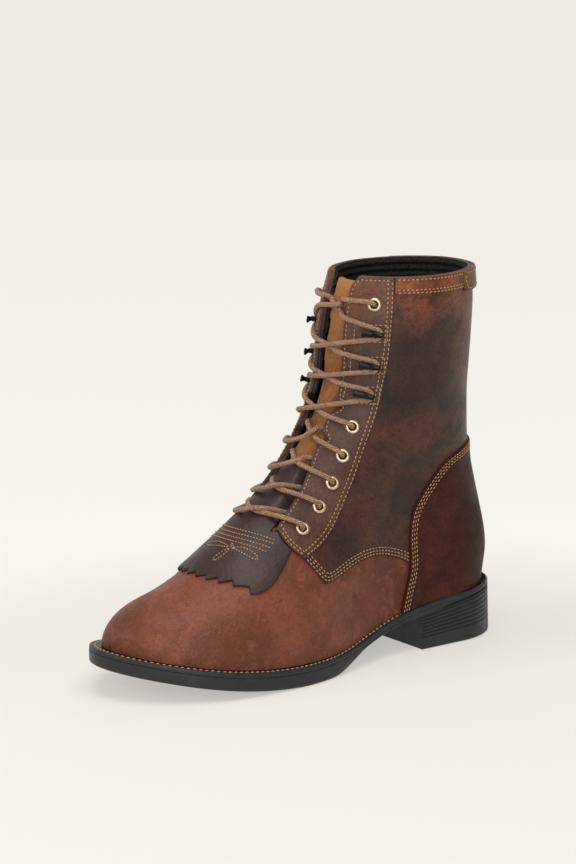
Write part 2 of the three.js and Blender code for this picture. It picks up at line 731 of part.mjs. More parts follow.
function makeCounter() {
  const ends = { ...roundBack(COUNTER_TURN), high: lineAbove(COUNTER_EDGE[0][1]) };
  const sheet = layer({ inside: OVERLAY_IN, outside: OVERLAY_OUT, ...ends });
  return sheet.intersect(sidePrism([[-FAR, COUNTER_EDGE[0][1]], ...COUNTER_EDGE, [0.31, -FAR], [-FAR, -FAR]]));
}

function makeCollarBand() {
  const ends = { ...roundBack(BAND_TURN), low: lineBelow(BAND_BOTTOM) };
  const sheet = layer({ inside: OVERLAY_IN, outside: OVERLAY_OUT, ...ends });
  const [top, below] = EYESTAY_SEAM;
  const slope = (below[0] - top[0]) / (below[1] - top[1]);
  const front = (height) => top[0] + slope * (height - top[1]) - CLEAR / FOOT_LENGTH;
  const outline = [
    [-FAR, BAND_BOTTOM], [front(BAND_BOTTOM), BAND_BOTTOM], [front(1), 1], [front(1), FAR], [-FAR, FAR],
  ];
  return sheet.intersect(sidePrism(outline));
}

function makeBackPatch() {
  const inside = OVERLAY_OUT + CLEAR;
  const ends = { ...roundBack(PATCH_TURN), low: lineBelow(PATCH_BOTTOM) };
  const sheet = layer({ inside, outside: inside + LEATHER, ...ends });
  const corner = Array.from({ length: 4 }, (_, i) => {
    const angle = Math.PI / 2 * i / 3;
    const heightCorner = PATCH_CORNER * FOOT_LENGTH / UPPER_HEIGHT;
    return [
      PATCH_FRONT - PATCH_CORNER * (1 - Math.sin(angle)),
      PATCH_BOTTOM + heightCorner * (1 - Math.cos(angle)),
    ];
  });
  return sheet.intersect(sidePrism([[-FAR, PATCH_BOTTOM], ...corner, [PATCH_FRONT, FAR], [-FAR, FAR]]));
}

// Tongue: raised in the middle, with room for the lace beside it
function makeTongue() {
  const outside = (turn, rise) => {
    const away = Math.abs(lastPoint(turn, rise).y);
    const sink = smooth(TONGUE_FLAT, TONGUE_FALL, away) * smooth(0.3, 0.38, rise);
    return -WALL - CLEAR - (LACE_DIAMETER + CLEAR) * sink;
  };
  const inside = (turn, rise) => outside(turn, rise) - TONGUE_THICKNESS;
  const ends = { ...roundFront(TONGUE_TURN), low: lineBelow(TONGUE_FOOT) };
  const sheet = layer({ inside, outside, ...ends });
  const [wide, top, round] = [TONGUE_WIDTH / 2, level(TONGUE_TOP), TONGUE_CORNER];
  const corner = Array.from({ length: 5 }, (_, i) => {
    const angle = Math.PI / 2 * i / 4;
    return [wide - round * (1 - Math.cos(angle)), top - round * (1 - Math.sin(angle))];
  });
  const side = [[wide, 0], ...corner];
  const other = side.map(([y, z]) => [-y, z]).reverse();
  return sheet.intersect(frontPrism([...side, ...other]));
}

// Underside of the kiltie over the last: it sinks into the throat
function kiltieIn(rise) {
  const [from, to] = KILTIE_SINK;
  return CLEAR - (WALL + CLEAR) * Math.min(Math.max((rise - from) / (to - from), 0), 1);
}
const kiltieOut = (rise) => kiltieIn(rise) + KILTIE_THICKNESS;

function kiltieOutline() {
  const side = KILTIE_SIDE.map(([s, y]) => [along(s), y * BALL_WIDTH]);
  const edge = [];
  const count = 2 * KILTIE_TEETH;
  for (let i = 0; i <= count; i += 1) {
    const y = KILTIE_CORNER * (1 - 2 * i / count);
    const x = along(KILTIE_TIP - KILTIE_CURVE * y * y) - (i % 2) * TOOTH_DEPTH;
    edge.push([x, y * BALL_WIDTH]);
  }
  const other = side.map(([x, y]) => [x, -y]).reverse();
  return [...side, ...edge, ...other];
}

function makeKiltie() {
  const sheet = layer({
    inside: (turn, rise) => kiltieIn(rise),
    outside: (turn, rise) => kiltieOut(rise),
    ...roundFront(KILTIE_TURN),
    low: lineBelow(KILTIE_FOOT),
    high: lineAbove(KILTIE_TOP),
  });
  const shape = new THREE.Shape(kiltieOutline().map(([x, y]) => new THREE.Vector2(x, y)));
  const fan = new THREE.ExtrudeGeometry(shape, { depth: level(KILTIE_TOP), bevelEnabled: false });
  const room = quarterPrism().translate([CLEAR, 0, -CLEAR]).subtract(throatChannel(KILTIE_INSET, WALL));
  return sheet.intersect(toSolid(fan)).subtract(room);
}

// Metal

function makeEyelet(row, sign) {
  const [bore, barrel, flange] = [EYELET_HOLE / 2, EYELET_BARREL / 2, EYELET_FLANGE / 2];
  const seatHeight = OVERLAY_OUT + METAL_CLEAR;
  const profile = [
    [bore, -WALL], [barrel, -WALL], [barrel, seatHeight], [flange, seatHeight],
    [bore, seatHeight + FLANGE_THICKNESS], [bore, -WALL],
  ].map(([r, h]) => new THREE.Vector2(r, h));
  const geometry = new THREE.LatheGeometry(profile, EYELET_SIDES);
  geometry.rotateX(Math.PI / 2);
  return placed(geometry, laceFrame(row, sign));
}

// A speed hook: a base, a stem and a round-ended bar across the facing
function makeHook(row, sign) {
  const foot = OVERLAY_OUT + METAL_CLEAR;
  const disc = (radius, low, high, sides) => {
    const geometry = new THREE.CylinderGeometry(radius, radius, high - low, sides);
    geometry.rotateX(Math.PI / 2);
    geometry.translate(0, 0, (low + high) / 2);
    return toSolid(geometry);
  };
  const base = disc(HOOK_BASE / 2, foot, foot + HOOK_METAL, EYELET_SIDES);
  const rise = foot + HOOK_METAL + HOOK_RISE;
  const stem = disc(HOOK_STEM / 2, foot + HOOK_METAL / 2, rise + HOOK_METAL / 2, 5);
  const [long, wide] = [HOOK_REACH / 2 - HOOK_BAR_WIDTH / 2, HOOK_BAR_WIDTH / 2];
  const outline = new THREE.Shape();
  outline.absarc(long, 0, wide, -Math.PI / 2, Math.PI / 2);
  outline.absarc(-long, 0, wide, Math.PI / 2, 3 * Math.PI / 2);
  const bar = new THREE.ExtrudeGeometry(outline, { depth: HOOK_METAL, bevelEnabled: false, curveSegments: 2 });
  bar.translate(0, 0, rise);
  return base.add(stem).add(toSolid(bar)).transform(laceFrame(row, sign).elements);
}

// Lace

function cord(points, step = LACE_STEP) {
  const path = new THREE.CatmullRomCurve3(points);
  const round = Array.from({ length: LACE_SIDES }, (_, i) => {
    const angle = 2 * Math.PI * i / LACE_SIDES;
    return new THREE.Vector2(LACE_RADIUS * Math.cos(angle), LACE_RADIUS * Math.sin(angle));
  });
  const steps = Math.round(path.getLength() / step);
  const settings = { steps, bevelEnabled: false, extrudePath: path };
  return toSolid(new THREE.ExtrudeGeometry(new THREE.Shape(round), settings));
}

const overFacing = OVERLAY_OUT + LACE_RADIUS + CLEAR;
const overKiltie = (z) => kiltieOut(levelShare(z)) + LACE_RADIUS + 2 * CLEAR;

// Out of one row's hole, over the facing's edge and the middle, to the other
// facing's edge just below the next row
function laceStrand(row, next, sign) {
  const [start, end] = [level(row.height) + LACE_LEAVE, level(next.height) - LACE_ARRIVE];
  const clear = row.kind === 'hook' ? HOOK_REACH / 2 : EYELET_FLANGE / 2;
  const from = row.side * COLLAR_WIDTH - clear - LACE_RADIUS - CLEAR;
  const to = throatHalf(end) - LACE_RADIUS - 2 * CLEAR;
  return cord(LACE_POINTS.map((t) => {
    const z = start + (end - start) * t;
    const y = from - (to + from) * t;
    const high = smooth(-to, throatHalf(z), y);
    const offset = LACE_DIP + (overFacing + CLEAR - LACE_DIP) * high;
    return onFront(z, sign * y, Math.max(offset, overKiltie(z)));
  }));
}

function makeCrossing(k) {
  const [row, next] = [LACE_ROWS[k], LACE_ROWS[k + 1]];
  return laceStrand(row, next, 1).add(laceStrand(row, next, -1));
}

// From the top hole over the facing's edge, where the lace goes inside
function makeLaceEnd(sign) {
  const row = LACE_ROWS.at(-1);
  const z = level(row.height) + LACE_LEAVE;
  const from = row.side * COLLAR_WIDTH - EYELET_FLANGE / 2 - LACE_RADIUS - CLEAR;
  const edge = throatHalf(z);
  const round = LACE_RADIUS + 3 * CLEAR;
  const point = (beyond, up) => onFront(z, sign * (edge - beyond), up);
  return cord([
    onFront(z, sign * from, overFacing + CLEAR),
    point(0, OVERLAY_OUT + round),
    point(round * Math.SQRT1_2, OVERLAY_OUT + round * Math.SQRT1_2),
    point(round, LACE_DIP),
  ], LACE_RADIUS);
}

// Materials

const paint = (color, roughness, metalness = 0) => {
  return new THREE.MeshStandardMaterial({ color, roughness, metalness });
};
const MATERIALS = {
  vamp: paint(0x7a4030, 0.5),
  dark: paint(0x4a2c24, 0.5),
  counter: paint(0x5c3024, 0.5),
  kiltie: paint(0x41302c, 0.55),
  suede: paint(0x8a5a2e, 0.95),
  patch: paint(0x8f6a3c, 0.7),
  rubber: paint(0x232326, 0.6),
  board: paint(0x8c7458, 0.85),
  brass: paint(0xcdbb8c, 0.35, 0.9),
  steel: paint(0x26262a, 0.35, 0.7),
  lace: paint(0x7d5a44, 0.9),
};

const boot = new THREE.Group();
boot.name = 'lacer_boot';

function piece(name, solid, material) {
  const mesh = new THREE.Mesh(toGeometry(solid), material);
  mesh.name = name;
  boot.add(mesh);
}

piece('outsole', makeOutsole(), MATERIALS.rubber);
piece('welt', makeWelt(), MATERIALS.rubber);
piece('heel', makeHeel(), MATERIALS.rubber);
piece('insole', makeInsole(), MATERIALS.board);
piece('upper', makeUpper(), MATERIALS.vamp);
piece('counter', makeCounter(), MATERIALS.counter);
piece('collar_band', makeCollarBand(), MATERIALS.dark);
piece('back_patch', makeBackPatch(), MATERIALS.patch);
piece('tongue', makeTongue(), MATERIALS.suede);
piece('kiltie', makeKiltie(), MATERIALS.kiltie);
for (const side of SIDES) {
  piece(`eyestay_${side.name}`, makeEyestay(side), MATERIALS.dark);
  LACE_ROWS.forEach((row, i) => {
    const name = `${row.kind}_${side.name}_${i + 1}`;
    if (row.kind === 'eyelet') piece(name, makeEyelet(row, side.sign), MATERIALS.brass);
    else piece(name, makeHook(row, side.sign), MATERIALS.steel);
  });
  piece(`lace_end_${side.name}`, makeLaceEnd(side.sign), MATERIALS.lace);
}
for (let k = 0; k < LACE_ROWS.length - 1; k += 1) {
  piece(`lace_crossing_${k + 1}`, makeCrossing(k), MATERIALS.lace);
}

export default boot;
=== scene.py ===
"""Looks of a left lacer boot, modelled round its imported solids, in metres: +X toe, +Y outer side, +Z up."""
import json
import math

import bpy
import numpy as np
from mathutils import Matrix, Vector

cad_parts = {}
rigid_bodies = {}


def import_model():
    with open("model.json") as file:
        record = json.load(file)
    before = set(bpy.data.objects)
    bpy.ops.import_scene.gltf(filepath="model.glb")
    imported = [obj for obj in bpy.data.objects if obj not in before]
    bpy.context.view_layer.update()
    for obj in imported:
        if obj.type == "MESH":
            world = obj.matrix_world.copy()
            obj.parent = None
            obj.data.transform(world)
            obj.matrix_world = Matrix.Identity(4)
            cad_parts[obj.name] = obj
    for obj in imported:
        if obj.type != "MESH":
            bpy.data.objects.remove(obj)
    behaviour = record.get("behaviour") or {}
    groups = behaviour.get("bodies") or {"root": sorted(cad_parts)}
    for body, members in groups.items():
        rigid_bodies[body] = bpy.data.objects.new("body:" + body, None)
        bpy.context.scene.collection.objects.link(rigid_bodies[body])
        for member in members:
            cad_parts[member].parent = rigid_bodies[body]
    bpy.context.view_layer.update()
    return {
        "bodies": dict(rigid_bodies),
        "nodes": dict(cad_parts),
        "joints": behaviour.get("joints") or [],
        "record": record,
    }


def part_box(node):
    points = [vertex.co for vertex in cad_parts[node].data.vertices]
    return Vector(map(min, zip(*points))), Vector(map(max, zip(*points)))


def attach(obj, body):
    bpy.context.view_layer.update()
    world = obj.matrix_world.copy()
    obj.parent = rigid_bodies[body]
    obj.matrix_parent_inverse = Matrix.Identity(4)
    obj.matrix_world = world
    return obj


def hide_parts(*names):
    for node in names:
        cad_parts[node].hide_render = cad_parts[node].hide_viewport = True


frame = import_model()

bl_info = {
    "name": "Lacer boot",
    "version": (1, 0, 0),
    "blender": (4, 5, 0),
    "location": "View3D > Sidebar > Boot",
    "description": "Makes a left lacer boot piece by piece round its solids",
    "category": "Add Mesh",
}

MM = 0.001

# Driving sizes, from the frame where it holds them
HEEL_SETBACK = 28.5 * MM
BALL_HEIGHT = 13 * MM
HEEL_HEIGHT = 32 * MM
TOE_SPRING = 16.5 * MM
BALL_WIDTH = 95.5 * MM
HEEL_WIDTH = 64 * MM
COLLAR_WIDTH = 82.5 * MM
TOE_ROUND = 72 * MM
HEEL_ROUND = 40 * MM
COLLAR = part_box("upper")[1].z
UPPER_HEIGHT = COLLAR - BALL_HEIGHT
FOOT_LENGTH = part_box("upper")[1].x + HEEL_SETBACK

# Heights of the layers over the last
WALL = 2.4 * MM
QUARTER_TOP = 1.0 * MM
QUARTER_UNDER = -1.2 * MM
OVERLAY_TOP = 2.6 * MM
PATCH_TOP = 3.8 * MM
LINING_UNDER = -1.3 * MM
QUILT_DEPTH = 1.5 * MM
QUILT_SEAMS = (5, 9.5, 14, 19, 30, 41)
TONGUE_TOP = -2.7 * MM
TONGUE_THICKNESS = 2.6 * MM
TONGUE_FALL = 4.1 * MM
KILTIE_THICKNESS = 1.8 * MM
KILTIE_FALL = 5.0 * MM
SUNK = 0.1 * MM

# Openings, overlaps, the leather's worn shape, and the width of its darkened edges, partly wear and partly painted
# shade
HOLE_RADIUS = 2.75 * MM
TUCK = 8 * MM
STITCH_LIFT = 0.2 * MM
EDGE_WEAR_AND_SHADE_WIDTH = 2.2 * MM
STITCH_SHARE = 0.66

# Heel
HEEL_MIDDLE = np.array([8 * MM, 0])
HEEL_BREAST = 40.5 * MM
HEEL_RIBS = 7
RIBBED_SHARE = 0.68
RIB_DEPTH = 0.7 * MM
HEEL_FLARE = 0.7 * MM

# Camera
CAMERA_TARGET = (0.1244, 0, 0.1526)
CAMERA_YAW = math.radians(37.0)
CAMERA_RISE = math.radians(12.3)
CAMERA_LENS = 129.15

# Side view of the last: height share, back line and front line as shares of its length
PROFILE = np.array([
    [-0.004, 0.002, 0.984], [0.038, -0.002, 0.995], [0.071, -0.003, 1.0], [0.113, -0.005, 0.995],
    [0.146, -0.009, 0.972], [0.18, -0.0135, 0.921], [0.209, -0.0135, 0.84], [0.2385, -0.0105, 0.786],
    [0.276, -0.004, 0.7465], [0.322, 0.006, 0.698], [0.381, 0.019, 0.633], [0.448, 0.033, 0.56],
    [0.523, 0.0395, 0.5035], [0.607, 0.043, 0.4585], [0.707, 0.042, 0.424], [0.812, 0.038, 0.412],
    [0.912, 0.0335, 0.398], [1.004, 0.036, 0.374],
])
# Plan of the foot: station share, outer and inner half width and centre as shares of the width there
PLAN = np.array([
    [-0.04, 0.495, 0.495, 0], [0.098, 0.5, 0.5, 0], [0.236, 0.5, 0.484, 0], [0.322, 0.505, 0.45, 0.008],
    [0.391, 0.513, 0.413, 0.014], [0.46, 0.52, 0.382, 0.012], [0.547, 0.515, 0.372, 0.011],
    [0.633, 0.518, 0.408, 0.01], [0.719, 0.524, 0.455, 0.005], [0.805, 0.508, 0.476, -0.005],
    [0.891, 0.476, 0.471, -0.021], [0.96, 0.445, 0.455, -0.037], [1.029, 0.419, 0.44, -0.047],
])
# Shaft: height share, outer and inner half width of the collar's, back and front round of the length
SHAFT = np.array([
    [0.033, 0.376, 0.376, 0.152, 0.379], [0.2, 0.382, 0.382, 0.152, 0.379],
    [0.326, 0.388, 0.388, 0.159, 0.328], [0.452, 0.406, 0.406, 0.172, 0.241],
    [0.577, 0.448, 0.436, 0.193, 0.207], [0.703, 0.485, 0.461, 0.207, 0.2],
    [0.828, 0.509, 0.479, 0.214, 0.193], [0.996, 0.527, 0.473, 0.22, 0.193],
])
# Half gap between the facings: height share, share of the collar's width
THROAT = np.array([
    [0.343, 0.272], [0.362, 0.252], [0.47, 0.19], [0.548, 0.15], [0.563, 0.206], [0.582, 0.145],
    [0.63, 0.137], [0.647, 0.212], [0.668, 0.16], [0.75, 0.158], [0.93, 0.135], [0.975, 0.14], [1.002, 0.185],
])
# Lace rows: kind, height share, distance from the middle as a share of the collar's width
LACE_ROWS = [
    ("eyelet", 0.344, 0.35), ("eyelet", 0.395, 0.33), ("eyelet", 0.453, 0.315), ("eyelet", 0.523, 0.308),
    ("eyelet", 0.598, 0.306), ("hook", 0.682, 0.328), ("hook", 0.764, 0.342), ("hook", 0.85, 0.35),
    ("eyelet", 0.926, 0.325),
]
# Outlines in the side view, as shares of the last's length and height
FAR = 1.4
QUARTER_FRONT = [(0.616, 0.343), (0.614, 0.32), (0.604, 0.298), (0.584, 0.272), (0.564, 0.238), (0.54, 0.199)]
QUARTER_BOTTOM = [(0.54, 0.199), (0.504, 0.207), (0.45, 0.229), (0.393, 0.24), (0.336, 0.231), (0.274, 0.201),
                  (0.23, 0.15)]
EYESTAY_SEAM = [(0.314, 1.03), (0.316, 1.0), (0.3286, 0.877), (0.338, 0.768), (0.36, 0.648), (0.402, 0.524),
                (0.4355, 0.437), (0.487, 0.346), (0.537, 0.297), (0.604, 0.262)]
COUNTER_EDGE = [(-0.1, 0.518), (0.02, 0.512), (0.085, 0.503), (0.152, 0.482), (0.192, 0.447), (0.228, 0.4),
                (0.256, 0.352), (0.267, 0.307), (0.27, 0.26), (0.268, 0.184), (0.284, 0.11), (0.299, 0.04)]
BAND_BOTTOM = 0.952
PATCH_FRONT = 0.143
PATCH_BOTTOM = 0.941
# Kiltie seen from above: shares of the length along, of the ball's width across
KILTIE_SIDE = [(0.48, 0.27), (0.605, 0.351), (0.638, 0.392), (0.667, 0.421), (0.69, 0.427)]
KILTIE_TIP = 0.793
KILTIE_CURVE = 0.395
KILTIE_CORNER = 0.4
KILTIE_TEETH = 9
TOOTH_DEPTH = 3.4 * MM
KILTIE_ROUND = [(176.5 * MM, 40.4 * MM), (180.5 * MM, 39.4 * MM)]
KILTIE_TOP = 0.5
KILTIE_SINK = (0.38, 0.47)


# Curves of the last

def curve_at(rows, column, at):
    """Smooth curve through one column of a table, over its first column."""
    xs, ys = rows[:, 0], rows[:, column]
    at = np.clip(at, xs[0], xs[-1])
    i = np.clip(np.searchsorted(xs, at, side="right") - 1, 0, len(xs) - 2)
    slopes = np.gradient(ys, xs)
    span = xs[i + 1] - xs[i]
    t = (at - xs[i]) / span
    return ((2 * t**3 - 3 * t**2 + 1) * ys[i] + (t**3 - 2 * t**2 + t) * span * slopes[i]
            + (3 * t**2 - 2 * t**3) * ys[i + 1] + (t**3 - t**2) * span * slopes[i + 1])


def smooth(low, high, x):
    t = np.clip((x - low) / (high - low), 0, 1)
    return t * t * (3 - 2 * t)


def opening(distance, length, power):
    """How far a round end has opened, from 0 at its tip to 1."""
    t = np.clip(distance / length, 0, 1)
    return np.sqrt(1 - (1 - t) ** power)


def along(share):
    return share * FOOT_LENGTH - HEEL_SETBACK


def level(share):
    return BALL_HEIGHT + share * UPPER_HEIGHT


def level_share(z):
    return (z - BALL_HEIGHT) / UPPER_HEIGHT


def station_share(x):
    return (x + HEEL_SETBACK) / FOOT_LENGTH


def foot_width(s):
    return HEEL_WIDTH + (BALL_WIDTH - HEEL_WIDTH) * smooth(0.3, 0.62, s)


def shaft_blend(share):
    """How far the foot has passed over into the shaft."""
    return smooth(0.197, 0.49, share)


def seat(x):
    """Top of the sole, where the upper stands."""
    s = station_share(x)
    arch = (BALL_HEIGHT - HEEL_HEIGHT) * smooth(0.167, 0.546, s)
    return HEEL_HEIGHT + arch + TOE_SPRING * np.maximum((s - 0.616) / 0.384, 0) ** 1.6


def plan_half(x, outer):
    s = station_share(x)
    return foot_width(s) * np.where(outer, curve_at(PLAN, 1, s), curve_at(PLAN, 2, s))


def plan_centre(x):
    s = station_share(x)
    return foot_width(s) * curve_at(PLAN, 3, s)


RIDGE_LEVELS = np.linspace(0.071, 1.0, 900)
RIDGE_FRONTS = np.minimum.accumulate(along(curve_at(PROFILE, 2, RIDGE_LEVELS)))


def ridge(x):
    """Height of the last's top line at a station."""
    return level(np.interp(x, RIDGE_FRONTS[::-1], RIDGE_LEVELS[::-1]))


def half_width(x, z, outer):
    share = level_share(z)
    back, front = along(curve_at(PROFILE, 1, share)), along(curve_at(PROFILE, 2, share))
    from_back = opening(x - back, FOOT_LENGTH * curve_at(SHAFT, 3, share), 2.2)
    from_front = opening(front - x, FOOT_LENGTH * curve_at(SHAFT, 4, share), 2.2)
    toe = opening(along(1.0017) - x, TOE_ROUND, 2.3)
    up = np.clip((z - seat(x)) / np.maximum(ridge(x) - seat(x), 1e-6), 0, 1)
    dome = np.sqrt(1 - up ** 2.3)
    sole = plan_half(x, outer)
    instep = np.where(outer, sole, 0.93 * plan_half(x, True))
    foot = (sole + (instep - sole) * smooth(0, 0.8, up)) * from_back * toe * dome
    wide = np.where(outer, curve_at(SHAFT, 1, share), curve_at(SHAFT, 2, share))
    blend = shaft_blend(share)
    return foot * (1 - blend) + COLLAR_WIDTH * wide * from_back * from_front * blend


def ring_height(rise, x):
    return level(rise) + (seat(x) - BALL_HEIGHT) * (1 - smooth(0, 0.155, rise))


def halved(low, high, shape, past):
    """Where a test turns true between two values, found by halving."""
    a, b = np.full(shape, low), np.full(shape, high)
    for _ in range(40):
        middle = (a + b) / 2
        beyond = past(middle)
        b, a = np.where(beyond, middle, b), np.where(beyond, a, middle)
    return (a + b) / 2


def find_ring_end(column, low, high):
    """Back or front of the rings at even rises."""
    return halved(along(low), along(high), RING_RISES.shape, lambda x: x >= along(
        curve_at(PROFILE, column, level_share(ring_height(RING_RISES, x)))))


RING_RISES = np.linspace(0, 1, 801)
RING_BACKS = find_ring_end(1, -0.1, 0.3)
RING_FRONTS = find_ring_end(2, 0.3, 1.05)


def ring_ends(rise):
    return np.interp(rise, RING_RISES, RING_BACKS), np.interp(rise, RING_RISES, RING_FRONTS)


def last_points(place):
    """Points of the last. A place is a turn, 0 at the back and a half at the front over the outer side,
    and a rise, 0 at the sole and 1 at the collar."""
    turn, rise = place[..., 0], np.clip(place[..., 1], 0, 1)
    back, front = ring_ends(rise)
    angle = turn * 2 * math.pi
    x = back + (front - back) * (1 - np.cos(angle)) / 2
    z = ring_height(rise, x)
    outer = np.sin(angle) >= 0
    half = half_width(x, z, outer)
    centre = plan_centre(x) * (1 - shaft_blend(level_share(z)))
    return np.stack([x, centre + np.where(outer, half, -half), z], -1)


def moved(place, turn, rise):
    return np.stack([place[..., 0] + turn, np.clip(place[..., 1] + rise, 0, 1)], -1)


def normals_at(place):
    step = 1e-3
    round_ = last_points(moved(place, step, 0)) - last_points(moved(place, -step, 0))
    up = last_points(moved(place, 0, step)) - last_points(moved(place, 0, -step))
    normal = np.cross(up, round_)
    normal /= np.maximum(np.linalg.norm(normal, axis=-1, keepdims=True), 1e-15)
    rise = place[..., 1]
    normal[..., 2] *= smooth(0, 0.05, rise) * smooth(0, 0.04, 1 - rise)
    return normal / np.linalg.norm(normal, axis=-1, keepdims=True)


# Soft creases and swells of the worn-in leather, in the side view: two ends, width, height; sides
CREASES = [
    ((0.12, 0.44), (0.34, 0.475), 0.028, -0.9, "both"), ((0.1, 0.5), (0.33, 0.54), 0.03, 0.5, "both"),
    ((0.36, 0.44), (0.46, 0.36), 0.022, -0.7, "both"), ((0.33, 0.5), (0.4, 0.46), 0.025, 0.6, "both"),
    ((0.3, 0.66), (0.2, 0.56), 0.03, -0.5, "outer"), ((0.1, 0.8), (0.25, 0.7), 0.045, 0.5, "outer"),
    ((0.56, 0.17), (0.66, 0.11), 0.03, -0.35, "both"), ((0.62, 0.2), (0.7, 0.13), 0.025, -0.3, "both"),
    ((0.3, 0.72), (0.12, 0.62), 0.035, -0.6, "inner"), ((0.05, 0.66), (0.2, 0.7), 0.04, -0.4, "both"),
    ((-0.05, 1.02), (0.05, 1.01), 0.055, -2.8, "both"),
]


def crease_heights(points):
    """How far creases and swells lift the leather at points of the last."""
    s = station_share(points[..., 0])
    h = level_share(points[..., 2])
    lift = np.zeros(s.shape)
    scale = np.array([1, UPPER_HEIGHT / FOOT_LENGTH])
    for start, end, width, height, sides in CREASES:
        a, b = np.array(start) * scale, np.array(end) * scale
        p = np.stack([s, h * scale[1]], -1)
        t = np.clip(((p - a) @ (b - a)) / ((b - a) @ (b - a)), 0, 1)
        away = np.linalg.norm(p - a - t[..., None] * (b - a), axis=-1)
        fade = 1 - (2 * t - 1) ** 4 * 0.6
        side = {"both": 1, "outer": smooth(-0.01, 0.01, points[..., 1]),
                "inner": smooth(-0.01, 0.01, -points[..., 1])}[sides]
        lift += height * MM * fade * side * np.exp(-(away / width) ** 2)
    return lift


def skin(place, height):
    """Points at a height over the creased last."""
    points = last_points(place)
    return points + normals_at(place) * (np.asarray(height) + crease_heights(points))[..., None]


# Places on the last

def front_place(z, y):
    """Place of a point given by its height and its distance from the middle plane, seen from the front."""
    z, y = np.broadcast_arrays(np.asarray(z, float), np.asarray(y, float))
    rise = level_share(z)
    turn = halved(0.25, 0.75, z.shape, lambda turn: last_points(np.stack([turn, rise], -1))[..., 1] <= y)
    return np.stack([turn, rise], -1)


def plan_place(x, y):
    """Place of a point of the foot's top given from above."""
    x, y = np.broadcast_arrays(np.asarray(x, float), np.asarray(y, float))

    def place_at(rise):
        back, front = ring_ends(rise)
        turn = np.arccos(np.clip(1 - 2 * (x - back) / (front - back), -1, 1)) / (2 * math.pi)
        return np.stack([np.where(y >= 0, turn, 1 - turn), rise], -1)

    def narrow(rise):
        return (np.abs(last_points(place_at(rise))[..., 1]) <= np.abs(y)) | (x >= ring_ends(rise)[1])
    return place_at(halved(0.1, 0.75, x.shape, narrow))


# Outlines

def windows(points):
    """Points in fours that follow each other, with one more point past each end."""
    p = np.array(points, float)
    longer = np.vstack([2 * p[0] - p[1], p, 2 * p[-1] - p[-2]])
    return zip(longer, longer[1:], longer[2:], longer[3:])


def curved(points, steps=6):
    """A smooth line through points."""
    line = []
    for a, b, c, d in windows(points):
        for t in np.arange(steps) / steps:
            line.append(0.5 * (2 * b + (c - a) * t + (2 * a - 5 * b + 4 * c - d) * t**2
                               + (3 * b - a - 3 * c + d) * t**3))
    return np.vstack([line, points[-1]])


def side_outline(points):
    p = np.array(points, float)
    return np.stack([along(p[:, 0]), level(p[:, 1])], -1)


def signed_distance(points, outline):
    """Distance to a closed outline, positive inside it."""
    best = np.full(len(points), np.inf)
    inside = np.zeros(len(points), bool)
    x, y = points.T
    for a, b in zip(outline, np.roll(outline, -1, 0)):
        d = b - a
        size = d @ d
        if size == 0:
            continue
        t = np.clip(((points - a) @ d) / size, 0, 1)
        best = np.minimum(best, ((points - a - t[:, None] * d) ** 2).sum(1))
        crosses = (a[1] > y) != (b[1] > y)
        with np.errstate(divide="ignore", invalid="ignore"):
            inside ^= crosses & (x < (b[0] - a[0]) * (y - a[1]) / (b[1] - a[1]) + a[0])
    return np.where(inside, 1, -1) * np.sqrt(best)


def side_edge(outline):
    """Distance to an outline in the side view, as a function of points."""
    return lambda points: signed_distance(points[:, [0, 2]], outline)


def front_edge(outline):
    return lambda points: signed_distance(np.stack([np.abs(points[:, 1]), points[:, 2]], -1), outline)


def plan_edge(outline):
    return lambda points: signed_distance(points[:, :2], outline)


def outside(edge):
    return lambda points: -edge(points)


def throat_outline(inset=0.0, drop=0.0):
    rows = np.array([[h * COLLAR_WIDTH - inset, level(s)] for s, h in THROAT])
    rows[0, 1] -= drop
    top = [[rows[-1, 0], level(FAR)], [-COLLAR_WIDTH, level(FAR)], [-COLLAR_WIDTH, rows[0, 1]]]
    return np.vstack([rows, top])


QUARTER = side_outline(np.vstack([
    curved(QUARTER_FRONT), curved(QUARTER_BOTTOM)[1:],
    [(0.225, -FAR), (-FAR, -FAR), (-FAR, FAR), (FAR, FAR), (FAR, QUARTER_FRONT[0][1])],
]))
SEAM_BACK = side_outline(np.vstack([curved(EYESTAY_SEAM), [(0.8, -FAR), (FAR, -FAR), (FAR, FAR), (0.314, FAR)]]))
COUNTER = side_outline(np.vstack([curved(COUNTER_EDGE), [(0.31, -FAR), (-FAR, -FAR), (-FAR, COUNTER_EDGE[0][1])]]))


# Sheets

SNAP = 0.12 * MM


